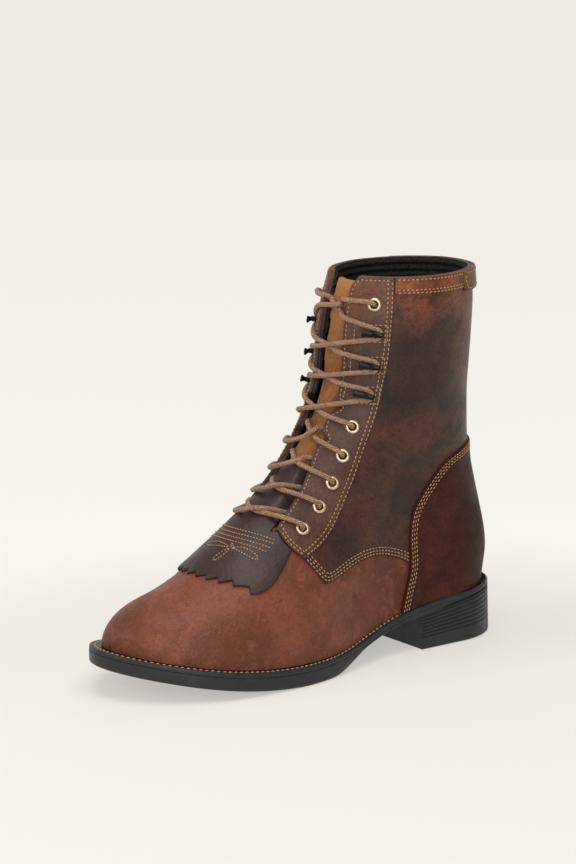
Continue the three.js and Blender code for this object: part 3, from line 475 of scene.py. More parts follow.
class Sheet:
    """Triangles over the last, cut along lines that lie a chosen distance from its edges."""

    def __init__(self, turns, rises, edges):
        self.edges = edges
        self.place = np.stack(np.meshgrid(turns, rises, indexing="ij"), -1).reshape(-1, 2)
        index = np.arange(len(self.place)).reshape(len(turns), len(rises))
        a, b, c, d = index[:-1, :-1], index[1:, :-1], index[1:, 1:], index[:-1, 1:]
        halves = [np.stack(f, -1).reshape(-1, 3) for f in ((a, b, c), (a, c, d))]
        self.faces = np.concatenate(halves)
        self.away = self.distances(self.place)
        for name in edges:
            self.split(name, 0.0, keep=True)
        self.tidy()

    def distances(self, place, names=None):
        """Distance along the surface to each edge, from its slope there."""
        step = 2e-4
        sides = [last_points(moved(place, t, r)) for t, r in ((step, 0), (-step, 0), (0, step), (0, -step))]
        spread = np.clip(place[:, 1] + step, 0, 1) - np.clip(place[:, 1] - step, 0, 1)
        round_ = (sides[0] - sides[1]) / (2 * step)
        up = (sides[2] - sides[3]) / spread[:, None]
        e, f, g = (round_ ** 2).sum(1), (round_ * up).sum(1), (up ** 2).sum(1)
        points = last_points(place)
        away = {}
        for name in names or self.edges:
            edge = self.edges[name]
            along_turn = (edge(sides[0]) - edge(sides[1])) / (2 * step)
            along_rise = (edge(sides[2]) - edge(sides[3])) / spread
            slope = (g * along_turn**2 - 2 * f * along_turn * along_rise + e * along_rise**2)
            slope = np.sqrt(np.maximum(slope / np.maximum(e * g - f * f, 1e-18), 0.04))
            away[name] = edge(points) / slope
        return away

    def split(self, name, distance, keep=False):
        """Adds corners along a line at a distance from an edge; keep drops what lies outside it."""
        away = self.away[name] - distance
        away[np.abs(away) < SNAP] = 0
        sign = np.sign(away)[self.faces]
        mixed = (sign.max(1) > 0) & (sign.min(1) < 0)
        rest, cut, sign = self.faces[~mixed], self.faces[mixed], sign[mixed]
        # The corner that is alone, or on the line, comes first
        zero = (sign == 0).any(1)
        total = sign.sum(1)
        first = np.where(zero, np.argmax(sign == 0, 1), np.argmax(sign == -np.sign(total)[:, None], 1))
        order = (first[:, None] + np.arange(3)) % 3
        cut = np.take_along_axis(cut, order, 1)
        a, b, c = cut.T
        lone = ~zero
        pairs = np.concatenate([np.stack([a, b], 1)[lone], np.stack([a, c], 1)[lone], np.stack([b, c], 1)[zero]])
        if len(pairs):
            pairs.sort(1)
            unique, inverse = np.unique(pairs, axis=0, return_inverse=True)
            inverse = inverse.reshape(-1) + len(self.place)
            self._add_corners(unique, away, name, distance)
            count = lone.sum()
            p, q, m = inverse[:count], inverse[count:2 * count], inverse[2 * count:]
            la, lb, lc = a[lone], b[lone], c[lone]
            za, zb, zc = a[zero], b[zero], c[zero]
            new = [(la, p, q), (p, lb, lc), (p, lc, q), (za, zb, m), (za, m, zc)]
            rest = np.concatenate([rest] + [np.stack(f, 1) for f in new])
        self.faces = rest
        exact = np.abs(self.away[name] - distance) < SNAP
        self.away[name][exact] = distance
        if keep:
            self.faces = rest[(self.away[name][rest] >= distance).all(1)]

    def _add_corners(self, pairs, away, name, distance):
        i, j = pairs.T
        t = away[i] / (away[i] - away[j])
        place = self.place[i] * (1 - t)[:, None] + self.place[j] * t[:, None]
        miss = self.distances(place, [name])[name] - distance
        toward = np.sign(miss) == np.sign(away[i])
        on = t + (1 - t) * miss / (miss - away[j])
        back = t * away[i] / (away[i] - miss)
        t = np.clip(np.where(toward, on, back), 0.02, 0.98)
        place = self.place[i] * (1 - t)[:, None] + self.place[j] * t[:, None]
        new = self.distances(place)
        new[name][:] = distance
        self.place = np.vstack([self.place, place])
        for key, values in new.items():
            self.away[key] = np.concatenate([self.away[key], values])

    def tidy(self):
        """Drops corners that no triangle uses."""
        used, inverse = np.unique(self.faces, return_inverse=True)
        self.faces = inverse.reshape(-1, 3)
        self.place = self.place[used]
        self.away = {name: values[used] for name, values in self.away.items()}

    def nearest(self, names=None):
        return np.min([self.away[name] for name in names or self.edges], 0)

    def rim(self):
        """Pairs of corners along the sheet's border, in its triangles' direction."""
        pairs = np.concatenate([self.faces[:, [0, 1]], self.faces[:, [1, 2]], self.faces[:, [2, 0]]])
        keys = np.sort(pairs, 1)
        _, inverse, counts = np.unique(keys, axis=0, return_inverse=True, return_counts=True)
        return pairs[counts[inverse.reshape(-1)] == 1]

    def row(self, name, distance, margin=2.5 * MM):
        """Runs of corners along a line that was split, clear of the other edges."""
        on = np.abs(self.away[name] - distance) < 1e-9
        others = [key for key in self.edges if key != name]
        if others:
            on &= self.nearest(others) > margin
        pairs = np.concatenate([self.faces[:, [0, 1]], self.faces[:, [1, 2]], self.faces[:, [2, 0]]])
        pairs = np.unique(np.sort(pairs[on[pairs].all(1)], 1), axis=0)
        return chains(pairs)


def chains(pairs):
    """Joins pairs of corners into runs."""
    links = {}
    for a, b in pairs.tolist():
        links.setdefault(a, []).append(b)
        links.setdefault(b, []).append(a)
    runs = []
    ends = [k for k, v in links.items() if len(v) == 1]
    for start in ends + list(links):
        if not links.get(start):
            continue
        run = [start]
        while links.get(run[-1]):
            here = run[-1]
            there = links[here].pop()
            links[there].remove(here)
            run.append(there)
        runs.append(run)
    return [run for run in runs if len(run) > 4]


# Blender objects

def new_object(name, points, faces, material, replaces=(), angle=None):
    """A piece of the boot: its mesh, material and body."""
    mesh = bpy.data.meshes.new(name)
    mesh.from_pydata([tuple(p) for p in points], [], [tuple(int(i) for i in f) for f in faces])
    mesh.validate()
    mesh.shade_smooth()
    if angle is not None:
        mesh.set_sharp_from_angle(angle=math.radians(angle))
    mesh.materials.append(material)
    piece = bpy.data.objects.new(name, mesh)
    bpy.context.scene.collection.objects.link(piece)
    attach(piece, "root")
    if replaces:
        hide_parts(*replaces)
    return piece


def set_attribute(piece, name, values):
    attribute = piece.data.attributes.new(name, "FLOAT", "POINT")
    attribute.data.foreach_set("value", np.asarray(values, np.float32))


def turned_out(points, faces):
    """Faces with their order turned so that a closed mesh faces out."""
    faces = [list(f) for f in faces]
    triangles = np.array([(f[0], f[i], f[i + 1]) for f in faces for i in range(1, len(f) - 1)])
    a, b, c = (points[triangles[:, k]] for k in range(3))
    volume = np.einsum("ij,ij->i", a, np.cross(b, c)).sum()
    return [f[::-1] for f in faces] if volume < 0 else faces


def two_sided(name, sheet, outer, inner, material, replaces=()):
    """A closed piece between a sheet's outer and inner points."""
    count = len(outer)
    walls = [(b, a, a + count, b + count) for a, b in sheet.rim().tolist()]
    faces = sheet.faces.tolist() + (sheet.faces[:, ::-1] + count).tolist() + walls
    points = np.vstack([outer, inner])
    return new_object(name, points, turned_out(points, faces), material, replaces, angle=50)


# Grooves that the rows of stitches lie in
GROOVE_HALF = 0.65 * MM
GROOVE_DEPTH = 0.24 * MM


def edge_heights(distance, thickness, round_):
    """A cut edge's round shoulder, as a height over the sheet's underside."""
    t = np.clip(distance / round_, 0, 1)
    return thickness * (0.45 + 0.55 * np.sqrt(1 - (1 - t) ** 2))


def leather_piece(name, turns, rises, edges, top, under, material, rows=(), replaces=(),
                  round_=0.9 * MM, margin=2.5 * MM, dimples=()):
    """A leather panel with round edges, and the runs of its stitch rows. Each row is an edge's name and how far
    from that edge the row lies; a dimple is a centre, a radius and a depth."""
    sheet = Sheet(turns, rises, edges)
    for share in (0.3, 1.0):
        for edge in edges:
            sheet.split(edge, share * round_)
    for edge, distance in rows:
        for step in (-GROOVE_HALF, 0, GROOVE_HALF):
            sheet.split(edge, distance + step)
    sheet.tidy()
    base = under(sheet.place) if callable(under) else np.full(len(sheet.place), under)
    crest = top(sheet.place) if callable(top) else np.full(len(sheet.place), top)
    height = base + edge_heights(sheet.nearest(), crest - base, round_)
    groove = np.zeros(len(sheet.place))
    for edge, distance in rows:
        inner = sheet.nearest([key for key in edges if key != edge]) if len(edges) > 1 else 1
        deep = np.clip(1 - np.abs(sheet.away[edge] - distance) / GROOVE_HALF, 0, 1) * (inner > margin * 0.8)
        groove = np.maximum(groove, deep)
    height -= GROOVE_DEPTH * groove
    points = last_points(sheet.place)
    for centre, radius, depth in dimples:
        away = np.linalg.norm(points - centre, axis=1)
        height -= depth * np.exp(-(away / radius) ** 2)
    piece = two_sided(name, sheet, skin(sheet.place, height), skin(sheet.place, base), material, replaces)
    # Darker toward each edge and all over the inner face: partly burnished wear, partly painted shade
    edge_wear_and_shade = np.exp(-sheet.nearest() / EDGE_WEAR_AND_SHADE_WIDTH)
    set_attribute(piece, "edge_wear_and_shade", np.concatenate([edge_wear_and_shade, np.ones(len(edge_wear_and_shade))]))
    # The stitch grooves are marked so that the finish can paint shade into them
    set_attribute(piece, "groove", np.concatenate([groove, np.zeros(len(edge_wear_and_shade))]))
    runs = []
    for edge, distance in rows:
        for run in sheet.row(edge, distance, margin):
            runs.append(surface_run(sheet.place[run], height[run] + STITCH_LIFT))
    return piece, runs


# Stitches: places along one, with shares of its width and of its height

STITCH_RINGS = [(-0.5, 0.35, -0.7), (-0.4, 0.85, -0.1), (-0.15, 1.0, 0.35), (0.15, 1.0, 0.35), (0.4, 0.85, -0.1),
                (0.5, 0.35, -0.7)]
STITCH_SIDES = 6


def resample(line, step):
    """Evenly spaced points along a line; its further columns go along."""
    line = np.asarray(line, float)
    lengths = np.concatenate([[0], np.cumsum(np.linalg.norm(np.diff(line[:, :3], axis=0), axis=1))])
    count = max(int(round(lengths[-1] / step)), 2)
    at = np.linspace(0, lengths[-1], count + 1)
    return np.stack([np.interp(at, lengths, column) for column in line.T], -1)


def softened(line, rounds=2):
    for _ in range(rounds):
        inner = (line[:-2] + 2 * line[1:-1] + line[2:]) / 4
        line = np.vstack([line[:1], inner, line[-1:]])
    return line


def stitching(name, runs, material, pitch=None, thick=1.0):
    """Thread in stitches along runs of points, each with the leather's normal there."""
    pitch, radius = pitch or sizes().stitch_pitch, thick * sizes().thread_diameter / 2
    template = []
    for along_, wide, high in STITCH_RINGS:
        for k in range(STITCH_SIDES):
            angle = 2 * math.pi * k / STITCH_SIDES
            template.append((along_ * STITCH_SHARE * pitch, wide * radius * math.cos(angle) * 1.15,
                             radius * (high + wide * math.sin(angle) * 0.8)))
    template = np.array(template)
    ring_faces = tube_faces(len(STITCH_RINGS), STITCH_SIDES, caps=True)
    all_points, all_faces = [], []
    for run in runs:
        if len(run) < 3:
            continue
        line = resample(softened(resample(run, pitch / 2)), pitch)
        middle = (line[:-1] + line[1:]) / 2
        tangent = line[1:, :3] - line[:-1, :3]
        tangent /= np.linalg.norm(tangent, axis=1, keepdims=True)
        across = np.cross(middle[:, 3:6], tangent)
        across /= np.linalg.norm(across, axis=1, keepdims=True)
        normal = np.cross(tangent, across)
        for m, t, a, n in zip(middle[:, :3], tangent, across, normal):
            base = len(all_points) * len(template)
            all_points.append(m + template @ np.array([t, a, n]))
            all_faces.extend([tuple(base + i for i in f) for f in ring_faces])
    return new_object(name, np.vstack(all_points), all_faces, material)


def tube_faces(rings, sides, caps=False, closed=False):
    """Faces of a tube whose rings follow each other, turning outwards."""
    faces = []
    for i in range(rings if closed else rings - 1):
        j = (i + 1) % rings
        for k in range(sides):
            m = (k + 1) % sides
            faces.append((i * sides + k, i * sides + m, j * sides + m, j * sides + k))
    if caps:
        faces.append(tuple(range(sides - 1, -1, -1)))
        faces.append(tuple((rings - 1) * sides + k for k in range(sides)))
    return faces


def surface_run(places, height):
    """A run of points over the last with their normals."""
    return np.concatenate([skin(places, height), normals_at(places)], 1)


# Materials

class Finish:
    """A material under construction."""

    def __init__(self, name, **shader):
        self.material = bpy.data.materials.new(name)
        self.material.use_nodes = True
        self.tree = self.material.node_tree
        self.shader = self.tree.nodes["Principled BSDF"]
        self.place = self.add("ShaderNodeTexCoord").outputs["Object"]
        for key, value in shader.items():
            self.set(key.replace("_", " "), value)

    def add(self, kind, inputs=(), **settings):
        node = self.tree.nodes.new(kind)
        for key, value in settings.items():
            setattr(node, key, value)
        for key, value in dict(inputs).items():
            self.put(node.inputs[key], value)
        return node

    def put(self, socket, value):
        if isinstance(value, bpy.types.NodeSocket):
            self.tree.links.new(value, socket)
        else:
            socket.default_value = value

    def set(self, key, value):
        self.put(self.shader.inputs[key], value)

    def noise(self, scale, detail=4.0, rough=0.55, twist=0.0):
        inputs = {"Vector": self.place, "Scale": scale, "Detail": detail, "Roughness": rough, "Distortion": twist}
        return self.add("ShaderNodeTexNoise", inputs).outputs["Fac"]

    def cells(self, scale):
        return self.add("ShaderNodeTexVoronoi", {"Vector": self.place, "Scale": scale}).outputs["Distance"]

    def ramp(self, value, low, high, to_low=0.0, to_high=1.0):
        inputs = {"Value": value, "From Min": low, "From Max": high, "To Min": to_low, "To Max": to_high}
        return self.add("ShaderNodeMapRange", inputs, interpolation_type="SMOOTHSTEP").outputs[0]

    def mix(self, share, a, b):
        node = self.add("ShaderNodeMix", data_type="RGBA")
        self.put(node.inputs[0], share)
        for socket, value in ((node.inputs[6], a), (node.inputs[7], b)):
            self.put(socket, value if isinstance(value, bpy.types.NodeSocket) else (*value[:3], 1.0))
        return node.outputs[2]

    def math(self, operation, a, b=0.0):
        return self.add("ShaderNodeMath", {0: a, 1: b}, operation=operation).outputs[0]

    def times(self, a, b):
        return self.math("MULTIPLY", a, b)

    def larger(self, a, b):
        return self.math("MAXIMUM", a, b)

    def attribute(self, name):
        return self.add("ShaderNodeAttribute", attribute_name=name).outputs["Fac"]

    def axis(self, name):
        return self.add("ShaderNodeSeparateXYZ", {0: self.place}).outputs[name]

    def bump(self, *layers):
        """Raised detail: heights in metres over each other."""
        normal = None
        for height, distance, strength in layers:
            inputs = {"Height": height, "Distance": distance, "Strength": strength}
            if normal is not None:
                inputs["Normal"] = normal
            normal = self.add("ShaderNodeBump", inputs).outputs["Normal"]
        self.set("Normal", normal)


def shade(colour, factor):
    return tuple(min(c * factor, 1.0) for c in colour[:3])


def leather_finish(name, colour, dark, warm=None, warm_mask=None, grain=1.0, gloss=0.0):
    """Oiled leather: cloudy colour, rubs, smudges, fine grain; edges darker, partly burnished wear and partly painted
    shade; painted shade in the stitch grooves.
    """
    f = Finish(name, IOR=1.45, Coat_Weight=max(0.02 + gloss, 0.0), Coat_Roughness=0.35,
               Specular_IOR_Level=0.2 + gloss)
    clouds = f.ramp(f.noise(21, 5, 0.6, twist=0.4), 0.38, 0.62)
    body = f.mix(clouds, dark, colour)
    if warm is not None:
        body = f.mix(warm_mask(f), body, warm)
    rubs = f.ramp(f.noise(75, 6, 0.7, twist=1.1), 0.5, 0.72, 0.0, 0.5)
    body = f.mix(rubs, body, shade(colour, 1.6))
    smudges = f.ramp(f.noise(120, 6, 0.7, twist=0.8), 0.48, 0.7, 0.0, 0.5)
    body = f.mix(smudges, body, shade(dark, 0.6))
    body = f.mix(f.ramp(f.noise(560, 5, 0.75), 0.45, 0.66, 0.0, 0.55 * grain), body, shade(dark, 0.5))
    body = f.mix(f.ramp(f.noise(700, 5, 0.75, twist=0.5), 0.54, 0.72, 0.0, 0.5 * grain), body, shade(colour, 1.8))
    # Darker toward the panel's edges and on its inner face: partly burnished wear, partly painted shade
    body = f.mix(f.times(f.attribute("edge_wear_and_shade"), 0.35), body, shade(dark, 0.5))
    # Stitch grooves much darker: painted shade in the recesses
    body = f.mix(f.times(f.attribute("groove"), 0.72), body, shade(dark, 0.3))
    f.set("Base Color", body)
    f.set("Roughness", f.ramp(f.noise(60, 5, 0.6), 0.3, 0.75, 0.42 - 0.5 * gloss, 0.6 - 0.5 * gloss))
    wrinkles = f.noise(300, 5, 0.65, twist=0.8)
    f.bump((f.noise(45, 3), 0.0014, 0.3 * grain), (wrinkles, 0.0009, 0.55 * grain),
           (f.cells(720), 0.0003, 0.6 * grain))
    return f.material


def colours():
    return bpy.context.scene.boot_colours


def vamp_finish():
    c = colours()

    def toward_sole(f):
        low = f.ramp(f.axis("Z"), 0.016, 0.026, 0.15, 0.0)
        back = f.ramp(f.axis("X"), 0.06, 0.13, 0.8, 0.0)
        toe = f.ramp(f.axis("X"), 0.225, 0.262, 0.0, 0.45)
        ends = f.larger(f.larger(low, back), toe)
        return f.times(ends, f.ramp(f.noise(50, 4), 0.3, 0.6, 0.45, 1.0))
    return leather_finish("vamp_leather", c.vamp, shade(c.vamp, 0.66), c.vamp_shade, toward_sole, 0.8, 0.04)


def high_mask(f, low, high, share=1.0):
    """Patches of a tone that grow from one height to another."""
    patches = f.ramp(f.noise(42, 5, 0.65, twist=0.7), 0.38, 0.64, 0.25, 1.0)
    return f.times(f.ramp(f.axis("Z"), low, high, 0.0, share), patches)


def shaft_finish():
    c = colours()

    def pull_up(f):
        height = f.axis("Z")
        ankle = f.times(f.ramp(height, 0.1, 0.135, 0.6, 0.8), f.ramp(height, 0.15, 0.18, 0.5, 0.0))
        back = f.ramp(f.axis("X"), -0.005, 0.03, 0.9, 0.15)
        patches = f.ramp(f.noise(42, 5, 0.65, twist=0.7), 0.36, 0.6, 0.3, 1.0)
        upper_back = f.times(f.ramp(height, 0.155, 0.19), back)
        return f.times(f.larger(f.larger(f.ramp(height, 0.2, 0.238), ankle), upper_back), patches)
    return leather_finish("shaft_leather", c.shaft, shade(c.shaft, 0.6), c.shaft_warm, pull_up, 1.0, 0.07)


def counter_finish():
    c = colours()
    return leather_finish("counter_leather", c.counter, shade(c.counter, 0.6), gloss=-0.06)


def facing_finish():
    c = colours()
    return leather_finish("facing_leather", c.facing, shade(c.facing, 0.55), c.shaft_warm,
                          lambda f: high_mask(f, 0.2, 0.245, 0.8), 0.9, 0.08)


def band_finish():
    c = colours()
    return leather_finish("band_leather", shade(c.shaft_warm, 1.45), shade(c.shaft_warm, 0.6), grain=0.9,
                          gloss=0.02)


def kiltie_finish():
    c = colours()
    return leather_finish("kiltie_leather", c.kiltie, shade(c.kiltie, 0.6), grain=0.8, gloss=0.1)


def patch_finish():
    c = colours()
    return leather_finish("patch_leather", c.patch, shade(c.patch, 0.65), grain=0.8)


def suede_finish():
    c = colours()
    f = Finish("tongue_suede", Roughness=0.95, Sheen_Weight=0.12, Sheen_Roughness=0.5, Specular_IOR_Level=0.08)
    nap = f.noise(640, 6, 0.78)
    clouds = f.ramp(f.noise(60, 5, 0.65, twist=0.9), 0.36, 0.64)
    body = f.mix(clouds, shade(c.tongue, 0.62), c.tongue)
    body = f.mix(f.ramp(nap, 0.46, 0.64, 0.0, 0.7), body, shade(c.tongue, 0.42))
    body = f.mix(f.ramp(f.noise(820, 5, 0.75, twist=0.6), 0.54, 0.7, 0.0, 0.6), body, shade(c.tongue, 1.7))
    rubbed = f.times(f.ramp(f.axis("Z"), 0.2, 0.235), f.ramp(f.noise(70, 4), 0.35, 0.6))
    body = f.mix(f.times(rubbed, 0.55), body, shade(c.tongue, 1.3))
    f.set("Base Color", body)
    f.bump((f.noise(90, 4), 0.0012, 0.4), (nap, 0.0009, 0.7), (f.noise(1500, 2), 0.0003, 0.5))
    return f.material


def lining_finish():
    c = colours()
    f = Finish("lining", Roughness=0.9, Specular_IOR_Level=0.2)
    mesh = f.cells(620)
    f.set("Base Color", f.mix(f.ramp(mesh, 0.15, 0.6), shade(c.lining, 0.6), shade(c.lining, 2.6)))
    f.bump((f.noise(180, 4), 0.0006, 0.4), (mesh, 0.0006, 0.8))
    return f.material


def rubber_finish(name="sole_rubber", factor=1.0):
    c = colours()
    f = Finish(name, IOR=1.5, Specular_IOR_Level=0.36)
    dust = f.ramp(f.noise(75, 6, 0.65), 0.45, 0.8)
    fine = f.noise(900, 4, 0.6)
    f.set("Base Color", f.mix(dust, shade(c.rubber, factor), shade(c.rubber, 1.7 * factor)))
    f.set("Roughness", f.ramp(f.noise(140, 4), 0.3, 0.7, 0.36, 0.56))
    f.bump((f.noise(60, 2), 0.0008, 0.2), (fine, 0.0002, 0.45))
    return f.material


def board_finish():
    f = Finish("insole_board", Roughness=0.8)
    c = shade(colours().patch, 0.9)
    f.set("Base Color", f.mix(f.noise(160, 6, 0.65), shade(c, 0.7), c))
    f.bump((f.noise(700, 4), 0.0003, 0.5))
    return f.material


def brass_finish():
    f = Finish("eyelet_brass", Metallic=1.0)
    c = colours().brass
    worn = f.ramp(f.noise(700, 4, 0.6), 0.35, 0.7)
    f.set("Base Color", f.mix(worn, c, shade(c, 0.62)))
    f.set("Roughness", f.ramp(worn, 0, 1, 0.32, 0.5))
    f.bump((f.noise(900, 2), 0.0001, 0.3))
    return f.material


def enamel_finish():
    f = Finish("hook_enamel", Specular_IOR_Level=0.17)
    c = colours().enamel
    f.set("Base Color", f.mix(f.ramp(f.noise(500, 4), 0.55, 0.75), c, shade(c, 2.5)))
    f.set("Roughness", f.ramp(f.noise(300, 3), 0.3, 0.7, 0.15, 0.26))
    f.bump((f.noise(800, 2), 0.0001, 0.3))
    return f.material


def thread_finish():
    f = Finish("stitch_thread", Roughness=0.7, Specular_IOR_Level=0.3)
    c = colours().thread
    f.set("Base Color", f.mix(f.ramp(f.noise(260, 4), 0.35, 0.7), shade(c, 0.68), c))
    f.bump((f.noise(2600, 2), 0.0002, 0.6))
    return f.material


def lace_finish():
    """Round braid: strands that cross both ways, one in a few lighter."""
    f = Finish("lace_cord", Roughness=0.8, Sheen_Weight=0.1, Specular_IOR_Level=0.2)
    c = colours()
    uv = f.add("ShaderNodeUVMap", uv_map="braid").outputs[0]
    parts = f.add("ShaderNodeSeparateXYZ", {0: uv})
    u, v = parts.outputs[0], parts.outputs[1]
    light = []
    for sign in (1, -1):
        slant = f.math("FRACT", f.math("ADD", f.times(u, 6.0), f.times(v, sign * 3.0)))
        light.append(f.ramp(f.math("ABSOLUTE", f.math("SUBTRACT", slant, 0.5)), 0.12, 0.3, 1.0, 0.0))
    fleck = f.times(light[0], f.ramp(f.noise(900, 3), 0.4, 0.6))
    body = f.mix(f.times(light[1], 0.7), shade(c.lace, 0.5), c.lace)
    body = f.mix(fleck, body, c.lace_fleck)
    f.set("Base Color", body)
    f.bump((f.larger(light[0], light[1]), 0.0003, 0.6), (f.noise(2400, 3), 0.0002, 0.5))
    return f.material


# Laces

def lace_frames():
    """Each lace hole and hook: its place, origin, outward and upward directions and the way to the middle."""
    frames = {}
    for number, (kind, height, side) in enumerate(LACE_ROWS, 1):
        for name, sign in (("lateral", 1), ("medial", -1)):
            place = front_place(level(height), sign * side * COLLAR_WIDTH)
            origin = skin(place[None], 0.0)[0]
            out = normals_at(place[None])[0]
            up = last_points(moved(place, 0, 1e-3)) - last_points(moved(place, 0, -1e-3))
            across = np.cross(up, out)
            across /= np.linalg.norm(across)
            frames[name, number] = {
                "kind": kind, "sign": sign, "z": level(height), "y": sign * side * COLLAR_WIDTH,
                "origin": origin, "out": out, "up": np.cross(out, across), "inward": -sign * across}
    return frames


FRAMES = lace_frames()
TOP_ROW = len(LACE_ROWS)


def hole_edge(points):
    """Distance to the nearest lace hole's rim."""
    centres = [f["origin"] for f in FRAMES.values() if f["kind"] == "eyelet"]
    return np.min([np.linalg.norm(points - c, axis=1) for c in centres], 0) - HOLE_RADIUS


def at(frame, inward, up, out):
    """A point beside a lace hole or hook, in millimetres."""
    return frame["origin"] + MM * (inward * frame["inward"] + up * frame["up"] + out * frame["out"])


def throat_half(z):
    return COLLAR_WIDTH * np.interp(level_share(z), THROAT[:, 0], THROAT[:, 1])


def over_throat(z, y, height):
    return skin(front_place(z, y)[None], height * MM)[0]


def kiltie_under(rise):
    """Underside of the kiltie over the last, which sinks under the facings."""
    low, high = KILTIE_SINK
    return 0.3 * MM - 2.7 * MM * np.clip((rise - low) / (high - low), 0, 1)


def tongue_fall(away, rise):
    """How far the tongue falls away at a distance from its middle."""
    return TONGUE_FALL * smooth(9 * MM, 19 * MM, away) * smooth(0.3, 0.38, rise)


def under_edge(room):
    """Share of the kiltie's fall near the facings' edge."""
    return smooth(7 * MM, -1 * MM, room)


def floor_height(z, y):
    """Top of the kiltie or the tongue under the lace, in millimetres over the last."""
    rise = level_share(z)
    tongue = TONGUE_TOP - tongue_fall(abs(y), rise)
    kiltie = kiltie_under(rise) + KILTIE_THICKNESS - KILTIE_FALL * under_edge(throat_half(z) - abs(y))
    return float(max(tongue, kiltie) if rise < KILTIE_TOP else tongue) / MM


# Lace over the throat: its clearance and the leather's top, in millimetres; where strands cross beside the middle
CLEAR = 0.15
FACING_TOP = OVERLAY_TOP / MM
FACING_UNDER = -2.4
CROSSING = 7 * MM
# How far above its row a strand leaves and how far below its row it arrives, in millimetres
LEAVES = {"eyelet": 1.6, "hook": 3.7}
ARRIVES = {"eyelet": 0.8, "hook": 3.4}
# Where a strand to an eyelet leaves its facing, passes the middle and goes under, as shares of its way up: from
# the outer side, and from the inner side after an eyelet or a hook
PASSES = {"outer": (0.42, 0.85, 1.1), "eyelet": (0.05, 0.48, 1.0), "hook": (0.7, 0.87, 1.0)}


def strand(start, end, above, radius):
    """Lace between two rows, in millimetres over the last: from the start's hole or hook tight across the
    throat, over or under the strand it meets, to the far side's next hole or hook."""
    z0, z1 = start["z"] + LEAVES[start["kind"]] * MM, end["z"] - ARRIVES[end["kind"]] * MM
    y0 = throat_half(z0) - 0.3 * MM
    if end["kind"] == "hook":
        return strand_to_hook(start, end, above, radius, z0, z1, y0)
    return strand_to_eyelet(start, radius, z0, z1, y0)


def strand_to_hook(start, end, above, radius, z0, z1, y0):
    """A straight strand from facing to facing."""
    sign, over = start["sign"], FACING_TOP + radius + CLEAR
    y1 = throat_half(z1)
    reach = abs(start["y"]) + abs(end["y"])
    za = z0 + (z1 - z0) * (abs(start["y"]) - y0) / reach
    zb = z1 - (z1 - z0) * (abs(end["y"]) - y1) / reach
    middle = front_place((za + zb) / 2, 0)[None]
    first = over_throat(za, sign * y0, over)
    last = over_throat(zb, -sign * (y1 - 0.3 * MM), over)
    rise = ((first + last) / 2 - last_points(middle)[0]) @ normals_at(middle)[0] / MM
    height = max(rise + (1.05 if above else -1.05) * radius, floor_height((za + zb) / 2, 0) + radius + CLEAR)
    return [first, skin(middle, height * MM)[0], last]


def strand_to_eyelet(start, radius, z0, z1, y0):
    """A strand that ends under the far facing. The one that starts on the outer side passes under the other."""
    sign = start["sign"]
    shares = PASSES["outer" if sign > 0 else start["kind"]]
    za, middle_z, zb = (z0 + (z1 - z0) * share for share in shares)
    y1 = throat_half(zb)
    side_z, side_y = (za, y0) if sign > 0 else (zb, y1)
    cross_z = middle_z + (side_z - middle_z) * CROSSING / side_y
    cross_over, middle_over = (0, 0) if sign > 0 else (2.15 * radius, 1.4 * radius)
    crossing = over_throat(cross_z, CROSSING, floor_height(cross_z, CROSSING) + radius + 0.2 + cross_over)
    middle = over_throat(middle_z, 0, floor_height(middle_z, 0) + radius + CLEAR + middle_over)
    under = FACING_UNDER - radius - 0.3
    near = floor_height(zb, y1 - 3 * MM) + radius + 0.1
    return [over_throat(za, sign * y0, FACING_TOP + radius + CLEAR), *[crossing, middle][::sign],
            over_throat(zb - 0.3 * MM, -sign * (y1 - 5 * MM), max(near, under + 1.6)),
            over_throat(zb, -sign * (y1 + 0.5 * MM), under - 0.1)]


def lace_path(first, radius):
    """One lace's way up from the lowest hole on one side to the top one."""
    r = radius / MM
    points = []
    sides = ("lateral", "medial") if first == "lateral" else ("medial", "lateral")
    for k in range(1, TOP_ROW + 1):
        here = FRAMES[sides[(k - 1) % 2], k]
        if here["kind"] == "eyelet":
            points += [at(here, 2.8, -0.6, FACING_UNDER - r - 0.6), at(here, 0, 0, -2.0), at(here, 0, 0.1, 1.0)]
            if k < TOP_ROW:
                points += [at(here, 0.3, 0.3, 3.0), at(here, 2.2, 0.8, 3.7 + 0.75 * r)]
        else:
            around, lift = 2.0 + r, FACING_TOP + 1.1 + r
            for angle in (-100, -55, 0, 55, 100):
                a = math.radians(angle)
                points.append(at(here, -around * math.cos(a), around * math.sin(a), lift))
        if k < TOP_ROW:
            there = FRAMES[sides[k % 2], k + 1]
            points += strand(here, there, (k + (first == "lateral")) % 2 == 1, r)
    return points


def smooth_path(points, step):
    """A smooth line through points, evenly spaced."""
    line = []
    for a, b, c, d in windows(points):
        # Knots spaced by distance keep the line from looping
        gaps = [max(np.linalg.norm(v), 1e-6) ** 0.5 for v in (b - a, c - b, d - c)]
        t0, t1, t2, t3 = 0, gaps[0], gaps[0] + gaps[1], sum(gaps)
        for t in np.linspace(t1, t2, 12, endpoint=False):
            a1 = (t1 - t) / (t1 - t0) * a + (t - t0) / (t1 - t0) * b
            a2 = (t2 - t) / (t2 - t1) * b + (t - t1) / (t2 - t1) * c
            a3 = (t3 - t) / (t3 - t2) * c + (t - t2) / (t3 - t2) * d
            b1 = (t2 - t) / (t2 - t0) * a1 + (t - t0) / (t2 - t0) * a2
            b2 = (t3 - t) / (t3 - t1) * a2 + (t - t1) / (t3 - t1) * a3
            line.append((t2 - t) / (t2 - t1) * b1 + (t - t1) / (t2 - t1) * b2)
    line.append(points[-1])
    return softened(resample(line, step), 3)


BRAID_SIDES = 24
BRAID_PITCH = 5.5 * MM


